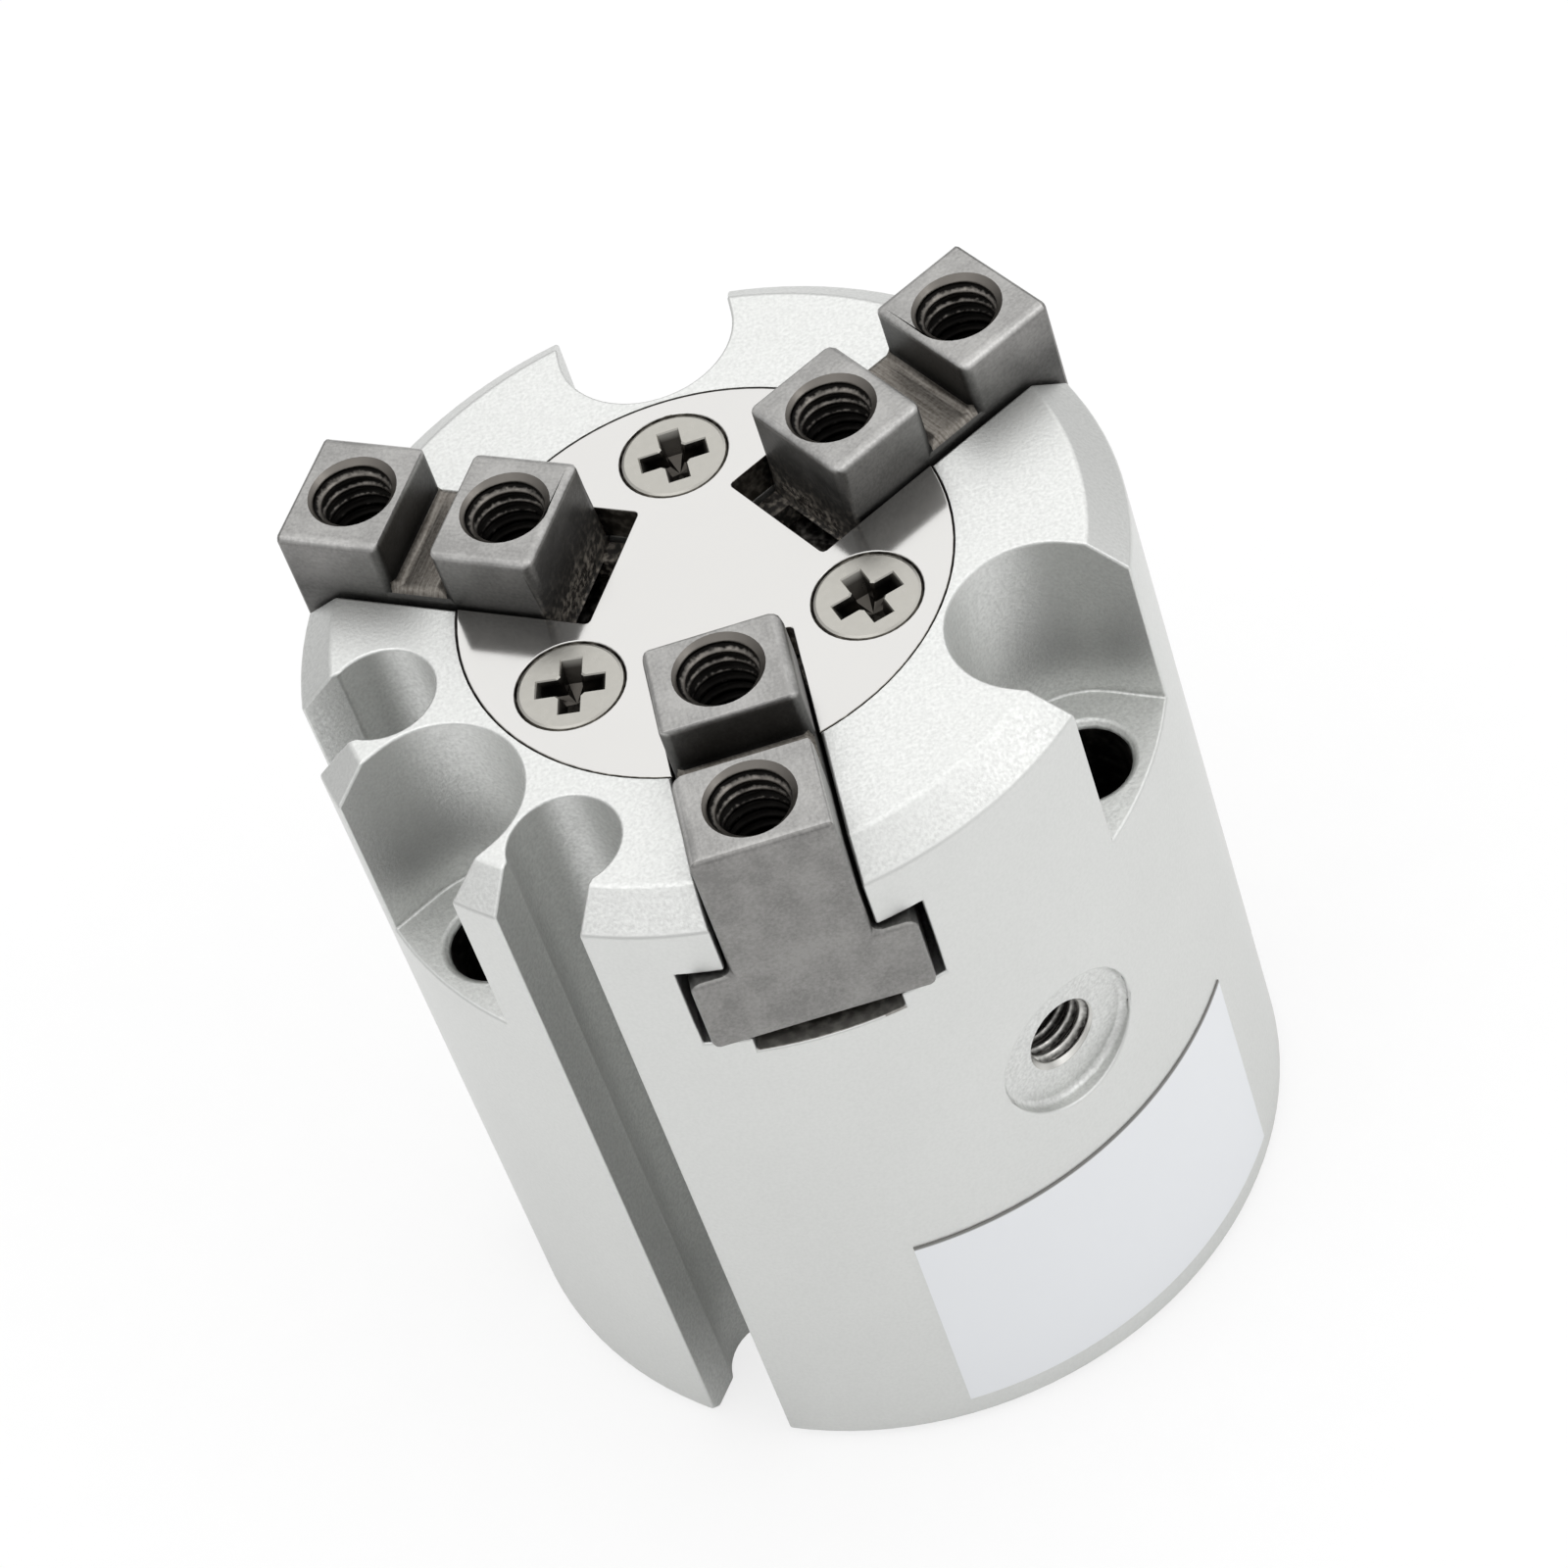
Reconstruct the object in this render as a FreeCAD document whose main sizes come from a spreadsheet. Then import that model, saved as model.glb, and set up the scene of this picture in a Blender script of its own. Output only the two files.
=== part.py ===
import FreeCAD, Part
import os
import re
import Sketcher

# Three jaw centric gripper, air driven. A turned and milled aluminium body holds an air
# cylinder in its lower half and three radial T-slots in its upper half. The piston rod
# carries a wedge cam whose three inclined T-rails run in grooves of the jaws, so that the
# piston's stroke opens and closes the three jaws together.
# Millimetres and degrees. Origin at the centre of the bottom face, +Z towards the jaws,
# the front jaw along -Y.

FRONT, RIGHT, LEFT = 270, 30, 150
JAW_ANGLES = {"jaw_front": FRONT, "jaw_right": RIGHT, "jaw_left": LEFT}
SCREW_ANGLES = {"cover_screw_back": 90, "cover_screw_left": 210, "cover_screw_right": 330}
JAW_COUNT = 3

SIZES = [
    ("body_radius", 15.0, "outside of the body"),
    ("body_height", 32.0, "body from its foot to its top face"),
    ("top_bevel_reach", 1.4, "bevel of the top edge, measured along the top face"),
    ("top_bevel_drop", 1.1, "bevel of the top edge, measured down the side"),
    ("foot_bevel", 0.4, "bevel of the bottom edge"),
    ("bore_radius", 8.0, "cylinder bore"),
    ("recess_radius", 8.5, "locating recess in the foot"),
    ("recess_depth", 1.5, "depth of the locating recess"),
    ("well_depth", 10.4, "top face down to the floor of the cam's well"),
    ("well_radius", 4.0, "round middle of the cam's well"),
    ("end_wall", 3.0, "wall between the cam's well and the cylinder"),
    ("slot_lip_depth", 3.2, "top face down to the T-slot's lip"),
    ("slot_floor_depth", 7.1, "top face down to the T-slot's floor"),
    ("slot_relief_depth", 7.8, "top face down to the relief under the T-slot"),
    ("stem_slot_width", 5.3, "narrow part of the T-slot"),
    ("tee_slot_width", 8.65, "wide part of the T-slot"),
    ("cam_slot_centre", 7.2, "centre of the round end of the cam's slots"),
    ("mount_circle_radius", 12.5, "circle of the mounting holes"),
    ("pocket_radius", 3.25, "pocket for a mounting screw's head"),
    ("pocket_depth", 8.0, "depth of that pocket"),
    ("mount_hole_radius", 1.7, "through hole for an M3 screw"),
    ("hole_bevel", 0.22, "bevel at a hole's mouth"),
    ("groove_radius", 2.0, "sensor groove"),
    ("groove_circle_radius", 12.0, "sensor groove's centre from the axis"),
    ("groove_mouth", 3.2, "opening of the sensor groove in the side"),
    ("groove_spread", 26.0, "sensor groove's angle from the left pocket"),
    ("port_radius", 1.25, "air port, drilled for an M3 thread"),
    ("port_depth", 4.6, "threaded depth of the lower port"),
    ("port_seat_radius", 2.95, "flat seat round a port"),
    ("port_seat_depth", 0.65, "depth of that seat at its middle"),
    ("port_upper_drop", 1.3, "upper port below the end wall"),
    ("port_upper_angle", -59.4, "upper port round the body"),
    ("port_lower_height", 4.5, "lower port above the foot"),
    ("port_lower_angle", 9.0, "lower port round the body"),
    ("airway_radius", 0.7, "slanted drilling from the lower port to the bore"),
    ("airway_rise", 1.5, "height gained by the slanted drilling"),
    ("pin_hole_radius", 1.0, "locating pin hole in the foot"),
    ("pin_hole_depth", 2.5, "depth of the pin hole"),
    ("plate_radius", 9.0, "seat of the cover plate"),
    ("plate_thickness", 1.5, "cover plate"),
    ("plate_gap", 0.06, "play round the cover plate"),
    ("plate_slot_width", 5.2, "jaw slots in the cover plate"),
    ("plate_slot_start", 3.45, "inner end of the jaw slots"),
    ("plate_slot_corner", 0.15, "rounding of the slot's inner corners"),
    ("screw_circle_radius", 6.2, "circle of the cover screws"),
    ("screw_head_radius", 1.95, "M2 countersunk head"),
    ("screw_head_height", 1.1, "height of that head"),
    ("screw_rim", 0.12, "straight rim of that head"),
    ("screw_shank_radius", 1.0, "plain part under the head"),
    ("screw_core_radius", 0.78, "core of the M2 thread"),
    ("screw_play", 0.06, "play round head and shank"),
    ("thread_play", 0.02, "play between the core and the tapped hole"),
    ("cover_screw_length", 4.0, "cover screw with its head"),
    ("cam_screw_length", 5.0, "cam screw with its head"),
    ("recess_arm", 1.2, "cross recess, half its length"),
    ("recess_width", 0.75, "cross recess, width of an arm"),
    ("recess_sink", 0.7, "depth of the cross recess"),
    ("jaw_travel", 2.0, "whole stroke of one jaw"),
    ("jaw_opening", 0.6, "stroke left to the fully open end"),
    ("piston_travel", 3.0, "whole stroke of the piston"),
    ("jaw_width", 5.0, "jaw above its flange"),
    ("jaw_rise", 2.7, "top of the jaw above the body"),
    ("block_start", 5.0, "inner block's near face from the axis"),
    ("block_end", 9.0, "inner block's far face"),
    ("notch_end", 11.0, "outer block's near face"),
    ("jaw_end", 15.0, "outer end of the jaw"),
    ("notch_rise", 0.5, "notch floor above the body"),
    ("flange_width", 8.0, "jaw's T-flange"),
    ("flange_play", 0.15, "play of the flange under the lip"),
    ("flange_floor_play", 0.25, "play of the flange over the floor"),
    ("leg_play", 0.2, "play of the jaw's leg over the relief"),
    ("leg_end", 8.8, "outer end of the leg"),
    ("nose_radius", 3.0, "tip of the jaw's nose under the cover"),
    ("nose_play", 0.2, "play of the nose under the cover"),
    ("jaw_hole_radius", 1.25, "jaw hole, drilled for an M3 thread"),
    ("jaw_hole_depth", 4.6, "full depth of the jaw hole"),
    ("jaw_hole_bevel", 0.4, "bevel at the mouth of the jaw hole"),
    ("jaw_hole_near", 6.9, "hole of the inner block"),
    ("jaw_hole_far", 12.9, "hole of the outer block"),
    ("drill_point", 0.75, "height of the drill's point"),
    ("groove_lip", 0.7, "lip of the jaw's inclined groove, along the radius"),
    ("groove_head", 1.2, "wide part of that groove, along the radius"),
    ("groove_neck_width", 1.8, "narrow part of that groove"),
    ("groove_head_width", 3.2, "wide part of that groove"),
    ("rail_play", 0.1, "play of the cam's rail in the groove"),
    ("face_gap", 0.2, "gap between the jaw's and the cam's inclined faces"),
    ("cam_gap", 0.15, "cam's gap to floor and cover at the ends of its stroke"),
    ("cam_hub_radius", 3.2, "round hub of the cam"),
    ("cam_lobe_width", 4.6, "lobe that carries a rail"),
    ("cam_reach", 8.2, "outside of the bar that the cam is made from"),
    ("rod_radius", 2.5, "piston rod"),
    ("rod_play", 0.03, "running fit of the rod"),
    ("spigot_radius", 1.6, "rod's spigot in the cam"),
    ("spigot_length", 3.0, "length of the spigot"),
    ("tail_radius", 1.5, "rod's tail through the piston, M3"),
    ("seat_depth", 1.0, "rod's shoulder in the piston"),
    ("fit_gap", 0.04, "play between parts that are fastened together"),
    ("bush_radius", 3.5, "seat of the rod bush"),
    ("seal_seat_radius", 4.25, "seat of the rod seal"),
    ("seal_seat_depth", 1.9, "depth of the rod seal's seat"),
    ("retainer_thickness", 0.6, "washer under the rod seal"),
    ("bumper_thickness", 0.5, "rubber end stops"),
    ("bumper_inner", 4.8, "inside of the end stops"),
    ("bumper_outer", 6.6, "outside of the end stops"),
    ("stop_gap", 0.05, "what the stops leave at the ends of the stroke"),
    ("piston_radius", 7.75, "piston"),
    ("land_radius", 7.2, "piston's narrow top land, for the upper port's air"),
    ("land_height", 1.9, "height of that land"),
    ("piston_bevel", 0.4, "bevel of the piston's lower edge"),
    ("seal_drop", 2.2, "piston's top down to the seal groove"),
    ("seal_width", 1.25, "seal groove"),
    ("seal_floor", 5.9, "floor of the seal groove"),
    ("magnet_drop", 3.75, "piston's top down to the magnet groove"),
    ("magnet_width", 1.25, "magnet groove"),
    ("magnet_floor", 5.4, "floor of the magnet groove"),
    ("wear_rise", 0.5, "piston's foot up to the guide ring's groove"),
    ("wear_width", 0.6, "guide ring's groove"),
    ("wear_floor", 7.0, "floor of the guide ring's groove"),
    ("ring_play", 0.04, "play of rings in their grooves and in the bore"),
    ("nut_flats", 5.5, "M3 lock nut, across its flats"),
    ("nut_height", 2.4, "height of that nut"),
    ("nut_room", 3.4, "round hollow for the nut"),
    ("nut_cover", 0.15, "nut below flush"),
    ("ring_thickness", 1.0, "retaining ring"),
    ("ring_groove_radius", 8.8, "groove of the retaining ring"),
    ("ring_inner", 7.2, "inside of the retaining ring"),
    ("ring_gap_width", 7.0, "gap between the ring's ends"),
    ("ring_foot", 1.95, "underside of the retaining ring above the foot"),
    ("lug_radius", 1.15, "eye at each end of the ring"),
    ("lug_hole_radius", 0.5, "hole in that eye"),
    ("cap_thickness", 2.0, "end cap"),
    ("cap_bevel", 0.4, "bevel of the cap's upper edge"),
    ("cap_hollow_radius", 5.5, "hollow under the cap"),
    ("cap_hollow_depth", 0.5, "depth of that hollow"),
    ("cap_seal_rise", 0.35, "cap's underside up to its seal groove"),
    ("cap_seal_width", 1.0, "cap's seal groove"),
    ("cap_seal_floor", 7.0, "floor of the cap's seal groove"),
]
ALIASES = {name for name, value, meaning in SIZES}

# Heights and slopes that several pieces share, worked out from the sizes above.
SLOT_LIP = "(body_height - slot_lip_depth)"
SLOT_FLOOR = "(body_height - slot_floor_depth)"
SLOT_RELIEF = "(body_height - slot_relief_depth)"
WELL_FLOOR = "(body_height - well_depth)"
WALL_FLOOR = f"({WELL_FLOOR} - end_wall)"
SEAL_SEAT = f"({WALL_FLOOR} + seal_seat_depth)"
PLATE_FOOT = "(body_height - plate_thickness)"
NOSE_TOP = f"({PLATE_FOOT} - nose_play)"
SLOPE = "(jaw_travel / piston_travel)"
OPENING = f"(jaw_opening / {SLOPE})"
CLOSING = f"(piston_travel - {OPENING})"
CAM_FOOT = f"({WELL_FLOOR} + cam_gap + {CLOSING})"
CAM_TOP = f"({PLATE_FOOT} - cam_gap - {OPENING})"
CAP_FOOT = "(ring_foot + ring_thickness)"
CAP_TOP = f"({CAP_FOOT} + cap_thickness)"
PISTON_FOOT = f"({CAP_TOP} + bumper_thickness + stop_gap + {CLOSING})"
PISTON_TOP = f"({WALL_FLOOR} - bumper_thickness - stop_gap - {OPENING})"
SPIGOT_TOP = f"({CAM_FOOT} + spigot_length)"

doc = FreeCAD.newDocument("ThreeJawGripper")
sheet = doc.addObject("Spreadsheet::Sheet", "Sizes")
for row, (name, value, meaning) in enumerate(SIZES, start=1):
    sheet.set(f"A{row}", name)
    sheet.set(f"B{row}", str(value))
    sheet.set(f"C{row}", meaning)
    sheet.setAlias(f"B{row}", name)
doc.recompute()

pieces = []


def bound(text):
    """An expression in the sizes' own names, made readable for the document."""
    return re.sub(r"[a-z_]+", lambda word: ("Sizes." if word.group() in ALIASES else "") + word.group(), text)


def number(text):
    value = sheet.evalExpression(bound(text))
    return float(getattr(value, "Value", value))


def new_body(label, place=None):
    body = doc.addObject("PartDesign::Body", label)
    body.Label = label
    if place:
        body.setExpression("Placement", bound(place))
    pieces.append(body)
    return body


def at(x, y, z, angle="0"):
    """A place: a position and a turn about Z."""
    return f"placement(vector({x}; {y}; {z}); rotation(vector(0; 0; 1); {angle}))"


def swung(angle):
    """The upright sketch plane, swung about Z so that its x runs outwards at this angle."""
    return f"placement(vector(0; 0; 0); rotation(vector(0; 1; 0); {angle}))"


def sketch(body, name, plane="XZ_Plane", place=None):
    drawing = body.newObject("Sketcher::SketchObject", name)
    origin_plane = [feature for feature in body.Origin.OriginFeatures if feature.Role == plane][0]
    drawing.AttachmentSupport = [(origin_plane, "")]
    drawing.MapMode = "FlatFace"
    if place:
        drawing.setExpression("AttachmentOffset", bound(place))
    return drawing


def drive(drawing, kind, *geometry, size):
    """A dimension whose value follows an expression."""
    index = drawing.addConstraint(Sketcher.Constraint(kind, *geometry, number(size)))
    drawing.setExpression(f"Constraints[{index}]", bound(size))


def pin_point(drawing, edge, end, x, y):
    """Hold one point of an edge at its two coordinates."""
    for kind, axis, size in (("DistanceX", -2, x), ("DistanceY", -1, y)):
        if size == "0":
            drawing.addConstraint(Sketcher.Constraint("PointOnObject", edge, end, axis))
        else:
            drive(drawing, kind, -1, 1, edge, end, size=size)


def outline(drawing, corners):
    """A closed outline of straight edges through these corners."""
    points = [FreeCAD.Vector(number(x), number(y), 0) for x, y in corners]
    count = len(points)
    first = drawing.GeometryCount
    for index in range(count):
        drawing.addGeometry(Part.LineSegment(points[index], points[(index + 1) % count]), False)
    for index in range(count):
        following = first + (index + 1) % count
        drawing.addConstraint(Sketcher.Constraint("Coincident", first + index, 2, following, 1))
        pin_point(drawing, first + index, 1, *corners[index])


def circle(drawing, x, y, radius):
    centre = FreeCAD.Vector(number(x), number(y), 0)
    index = drawing.addGeometry(Part.Circle(centre, FreeCAD.Vector(0, 0, 1), number(radius)), False)
    pin_point(drawing, index, 3, x, y)
    drive(drawing, "Radius", index, size=radius)


def round_ended(drawing, centre, radius, mouth):
    """A slot along the sketch's y axis: a round end below its centre and straight sides up to the mouth."""
    middle, reach, top = number(centre), number(radius), number(mouth)
    half_turn = 3.141592653589793
    round_end = Part.Circle(FreeCAD.Vector(0, middle, 0), FreeCAD.Vector(0, 0, 1), reach)
    arc = drawing.addGeometry(Part.ArcOfCircle(round_end, half_turn, 2 * half_turn), False)
    corners = [(reach, middle), (reach, top), (-reach, top), (-reach, middle)]
    ends = [FreeCAD.Vector(x, y, 0) for x, y in corners]
    right, across, left = [
        drawing.addGeometry(Part.LineSegment(start, end), False) for start, end in zip(ends, ends[1:])
    ]
    drawing.addConstraint(Sketcher.Constraint("Tangent", arc, 2, right, 1))
    drawing.addConstraint(Sketcher.Constraint("Coincident", right, 2, across, 1))
    drawing.addConstraint(Sketcher.Constraint("Coincident", across, 2, left, 1))
    drawing.addConstraint(Sketcher.Constraint("Tangent", left, 2, arc, 1))
    drawing.addConstraint(Sketcher.Constraint("Vertical", right))
    drawing.addConstraint(Sketcher.Constraint("Vertical", left))
    drawing.addConstraint(Sketcher.Constraint("Horizontal", across))
    pin_point(drawing, arc, 3, "0", centre)
    drive(drawing, "Radius", arc, size=radius)
    drive(drawing, "DistanceY", -1, 1, across, 1, size=mouth)


def feature(body, kind, name, drawing, length=None, both_ways=False, reverse=False):
    """A pad or pocket of one drawing."""
    made = body.newObject(f"PartDesign::{kind}", name)
    made.Profile = drawing
    made.SideType = "Symmetric" if both_ways else "One side"
    made.Reversed = reverse
    made.setExpression("Length", bound(length))
    drawing.Visibility = False
    return made


def turned(body, name, corners):
    """A piece turned about Z from its half section, radius against height."""
    drawing = sketch(body, f"{name}_section")
    outline(drawing, corners)
    made = body.newObject("PartDesign::Revolution", name)
    made.Profile = drawing
    made.ReferenceAxis = (drawing, ["V_Axis"])
    made.Angle = 360
    return made


def bored(body, name, axis, corners, place=None):
    """A hole with steps or bevels, turned about a line of its own drawing."""
    drawing = sketch(body, f"{name}_section", place=place)
    start, end = [FreeCAD.Vector(number(x), number(y), 0) for x, y in axis]
    line = drawing.addGeometry(Part.LineSegment(start, end), True)
    for end_index, (x, y) in enumerate(axis, start=1):
        pin_point(drawing, line, end_index, x, y)
    outline(drawing, corners)
    made = body.newObject("PartDesign::Groove", name)
    made.Profile = drawing
    made.ReferenceAxis = (drawing, ["Axis0"])
    made.Angle = 360
    return made


def repeated(body, name, originals, count=JAW_COUNT):
    """Copies of features, evenly spaced about Z."""
    made = body.newObject("PartDesign::PolarPattern", name)
    made.Originals = originals
    axis = [item for item in body.Origin.OriginFeatures if item.Role == "Z_Axis"][0]
    made.Axis = (axis, [""])
    made.Angle = 360
    made.Occurrences = count
    body.Tip = made
    return made


def rectangle(left, right, low, high):
    return [(left, low), (right, low), (right, high), (left, high)]


def ring(label, inner, outer, low, high):
    """A plain turned ring."""
    body = new_body(label)
    turned(body, f"{label}_turned", rectangle(inner, outer, low, high))
    return body


def jaw_face(height):
    """Distance from the axis of a jaw's inclined inner face at this height."""
    return f"(nose_radius + ({NOSE_TOP} - {height}) * {SLOPE})"


def cam_face(height):
    return f"({jaw_face(height)} - face_gap)"


def inclined_strip(inside, outside, low, high):
    """A strip along the incline, between two distances from the jaw's inner face."""
    return [
        (f"({jaw_face(low)} + {inside})", low),
        (f"({jaw_face(low)} + {outside})", low),
        (f"({jaw_face(high)} + {outside})", high),
        (f"({jaw_face(high)} + {inside})", high),
    ]


def housing():
    """The body: turned from bar, bored from both ends, then milled and drilled."""
    body = new_body("housing")
    turned(body, "housing_turned", [
        ("recess_radius", "0"),
        ("body_radius - foot_bevel", "0"),
        ("body_radius", "foot_bevel"),
        ("body_radius", "body_height - top_bevel_drop"),
        ("body_radius - top_bevel_reach", "body_height"),
        ("plate_radius", "body_height"),
        ("plate_radius", PLATE_FOOT),
        ("well_radius", PLATE_FOOT),
        ("well_radius", WELL_FLOOR),
        ("bush_radius", WELL_FLOOR),
        ("bush_radius", SEAL_SEAT),
        ("seal_seat_radius", SEAL_SEAT),
        ("seal_seat_radius", WALL_FLOOR),
        ("bore_radius", WALL_FLOOR),
        ("bore_radius", f"{CAP_FOOT} + ring_play"),
        ("ring_groove_radius", f"{CAP_FOOT} + ring_play"),
        ("ring_groove_radius", "ring_foot - ring_play"),
        ("bore_radius", "ring_foot - ring_play"),
        ("bore_radius", "recess_depth"),
        ("recess_radius", "recess_depth"),
    ])

    # Three T-slots, each with a relief along its floor, open at the side wall.
    section = sketch(body, "tee_section")
    half_stem, half_tee, over = "stem_slot_width / 2", "tee_slot_width / 2", "body_height + jaw_rise"
    outline(section, [
        (half_stem, SLOT_RELIEF),
        (half_stem, SLOT_FLOOR),
        (half_tee, SLOT_FLOOR),
        (half_tee, SLOT_LIP),
        (half_stem, SLOT_LIP),
        (half_stem, over),
        (f"-{half_stem}", over),
        (f"-{half_stem}", SLOT_LIP),
        (f"-{half_tee}", SLOT_LIP),
        (f"-{half_tee}", SLOT_FLOOR),
        (f"-{half_stem}", SLOT_FLOOR),
        (f"-{half_stem}", SLOT_RELIEF),
    ])
    tee_slot = feature(body, "Pocket", "tee_slot", section, "body_radius + jaw_opening", reverse=True)

    # Deeper slots in the middle, where the cam's lobes go down.
    drawing = sketch(body, "cam_slot_outline", "XY_Plane", at("0", "0", "body_height"))
    round_ended(drawing, "-cam_slot_centre", half_stem, "0.5 * well_radius")
    cam_slot = feature(body, "Pocket", "cam_slot", drawing, "well_depth")

    # Pockets for the mounting screws, open to the side, and their through holes.
    drawing = sketch(body, "screw_pocket_outline", "XY_Plane", at("0", "0", "body_height"))
    round_ended(drawing, "mount_circle_radius", "pocket_radius", "body_radius + pocket_radius")
    screw_pocket = feature(body, "Pocket", "screw_pocket", drawing, "pocket_depth")
    floor = "(body_height - pocket_depth)"
    mount_hole = bored(
        body,
        "mount_hole",
        [("mount_circle_radius", "0"), ("mount_circle_radius", floor)],
        [
            ("mount_circle_radius", "0"),
            ("mount_circle_radius + mount_hole_radius + hole_bevel / 2", "0"),
            ("mount_circle_radius + mount_hole_radius", "hole_bevel / 2"),
            ("mount_circle_radius + mount_hole_radius", f"{floor} - hole_bevel"),
            ("mount_circle_radius + mount_hole_radius + hole_bevel", floor),
            ("mount_circle_radius", floor),
        ],
        swung("90"),
    )

    # Tapped holes for the cover screws, in the posts between the T-slots.
    tapped, bottom = "screw_core_radius + thread_play", "(body_height - cover_screw_length - hole_bevel)"
    screw_hole = bored(
        body,
        "cover_screw_hole",
        [("screw_circle_radius", bottom), ("screw_circle_radius", PLATE_FOOT)],
        [
            ("screw_circle_radius", bottom),
            (f"screw_circle_radius + {tapped}", bottom),
            (f"screw_circle_radius + {tapped}", PLATE_FOOT),
            ("screw_circle_radius", PLATE_FOOT),
        ],
        swung("90"),
    )
    repeated(body, "three_stations", [tee_slot, cam_slot, screw_pocket, mount_hole, screw_hole])

    # Two sensor grooves, one on each side of the left pocket, from foot to top.
    for side, sign in (("near", "+"), ("far", "-")):
        place = at("0", "0", "0", f"{SCREW_ANGLES['cover_screw_left']} {sign} groove_spread")
        drawing = sketch(body, f"groove_{side}_round", "XY_Plane", place)
        circle(drawing, "groove_circle_radius", "0", "groove_radius")
        feature(body, "Pocket", f"groove_{side}", drawing, "body_height", reverse=True)
        drawing = sketch(body, f"groove_{side}_opening", "XY_Plane", place)
        half_mouth = "groove_mouth / 2"
        outline(drawing, rectangle("groove_circle_radius", "body_radius + groove_radius",
                                   f"-{half_mouth}", half_mouth))
        feature(body, "Pocket", f"groove_{side}_mouth", drawing, "body_height", reverse=True)

    # Air ports: each has a flat seat and an M3 hole. The upper one opens into the bore.
    upper = f"({WALL_FLOOR} - port_upper_drop)"
    lower = "port_lower_height"
    seat = "(body_radius - port_seat_depth)"
    for name, height, inner, angle in (
        ("upper_port", upper, "(bore_radius - port_radius)", "port_upper_angle"),
        ("lower_port", lower, f"({seat} - port_depth)", "port_lower_angle"),
    ):
        bored(
            body,
            name,
            [(inner, height), ("body_radius + port_radius", height)],
            [
                (inner, height),
                (inner, f"{height} + port_radius"),
                (f"{seat} - hole_bevel", f"{height} + port_radius"),
                (seat, f"{height} + port_radius + hole_bevel"),
                (seat, f"{height} + port_seat_radius"),
                ("body_radius + port_radius", f"{height} + port_seat_radius"),
                ("body_radius + port_radius", height),
            ],
            swung(angle),
        )

    # The lower port's air goes on through a slanted drilling, to above the end cap.
    start, end = f"({seat} - port_depth + airway_radius)", "(bore_radius - airway_radius)"
    bored(
        body,
        "airway",
        [(start, lower), (end, f"{lower} + airway_rise")],
        [
            (start, lower),
            (start, f"{lower} + airway_radius"),
            (end, f"{lower} + airway_rise + airway_radius"),
            (end, f"{lower} + airway_rise"),
        ],
        swung("port_lower_angle"),
    )

    # Locating pin hole in the foot, under the front jaw.
    drawing = sketch(body, "pin_hole_round", "XY_Plane", at("0", "0", "0", str(FRONT)))
    circle(drawing, "mount_circle_radius", "0", "pin_hole_radius")
    feature(body, "Pocket", "pin_hole", drawing, "pin_hole_depth", reverse=True)


def cover_plate():
    """Round steel plate let into the top, slotted for the jaws and countersunk for its screws."""
    body = new_body("cover_plate")
    drawing = sketch(body, "plate_round", "XY_Plane", at("0", "0", PLATE_FOOT))
    circle(drawing, "0", "0", "plate_radius - plate_gap")
    feature(body, "Pad", "plate_disc", drawing, "plate_thickness")
    drawing = sketch(body, "plate_slot_outline", "XY_Plane", at("0", "0", "body_height", str(FRONT)))
    half = "plate_slot_width / 2"
    corner = "plate_slot_corner"
    outline(drawing, [
        (f"plate_slot_start + {corner}", f"-{half}"),
        ("plate_radius + plate_gap", f"-{half}"),
        ("plate_radius + plate_gap", half),
        (f"plate_slot_start + {corner}", half),
        (f"plate_slot_start + 0.3 * {corner}", f"{half} - 0.3 * {corner}"),
        ("plate_slot_start", f"{half} - {corner}"),
        ("plate_slot_start", f"{corner} - {half}"),
        (f"plate_slot_start + 0.3 * {corner}", f"0.3 * {corner} - {half}"),
    ])
    slot = feature(body, "Pocket", "plate_slot", drawing, "plate_thickness")
    middle = "screw_circle_radius"
    head = f"{middle} + screw_head_radius + screw_play"
    shank = f"{middle} + screw_shank_radius + screw_play"
    countersink = bored(
        body,
        "plate_countersink",
        [(middle, PLATE_FOOT), (middle, "body_height")],
        [
            (middle, PLATE_FOOT),
            (shank, PLATE_FOOT),
            (shank, "body_height - screw_head_height - screw_play"),
            (head, "body_height - screw_rim"),
            (head, "body_height"),
            (middle, "body_height"),
        ],
        swung("90"),
    )
    repeated(body, "plate_stations", [slot, countersink])


def countersunk_screw(label, length, plain, place):
    """M2 countersunk screw with a cross recess. Its head's top is at its own origin."""
    body = new_body(label, place)
    turned(body, f"{label}_turned", [
        ("0", "0"),
        ("screw_head_radius", "0"),
        ("screw_head_radius", "-screw_rim"),
        ("screw_shank_radius", "-screw_head_height"),
        ("screw_shank_radius", f"-{plain}"),
        ("screw_core_radius", f"-{plain}"),
        ("screw_core_radius", f"screw_play - {length} + screw_core_radius / 2"),
        ("screw_core_radius / 2", f"screw_play - {length}"),
        ("0", f"screw_play - {length}"),
    ])
    drawing = sketch(body, f"{label}_cross", "XY_Plane")
    arm, half = "recess_arm", "recess_width / 2"
    outline(drawing, [
        (arm, f"-{half}"), (arm, half), (half, half), (half, arm),
        (f"-{half}", arm), (f"-{half}", half), (f"-{arm}", half), (f"-{arm}", f"-{half}"),
        (f"-{half}", f"-{half}"), (f"-{half}", f"-{arm}"), (half, f"-{arm}"), (half, f"-{half}"),
    ])
    feature(body, "Pocket", f"{label}_recess", drawing, "recess_sink")


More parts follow.
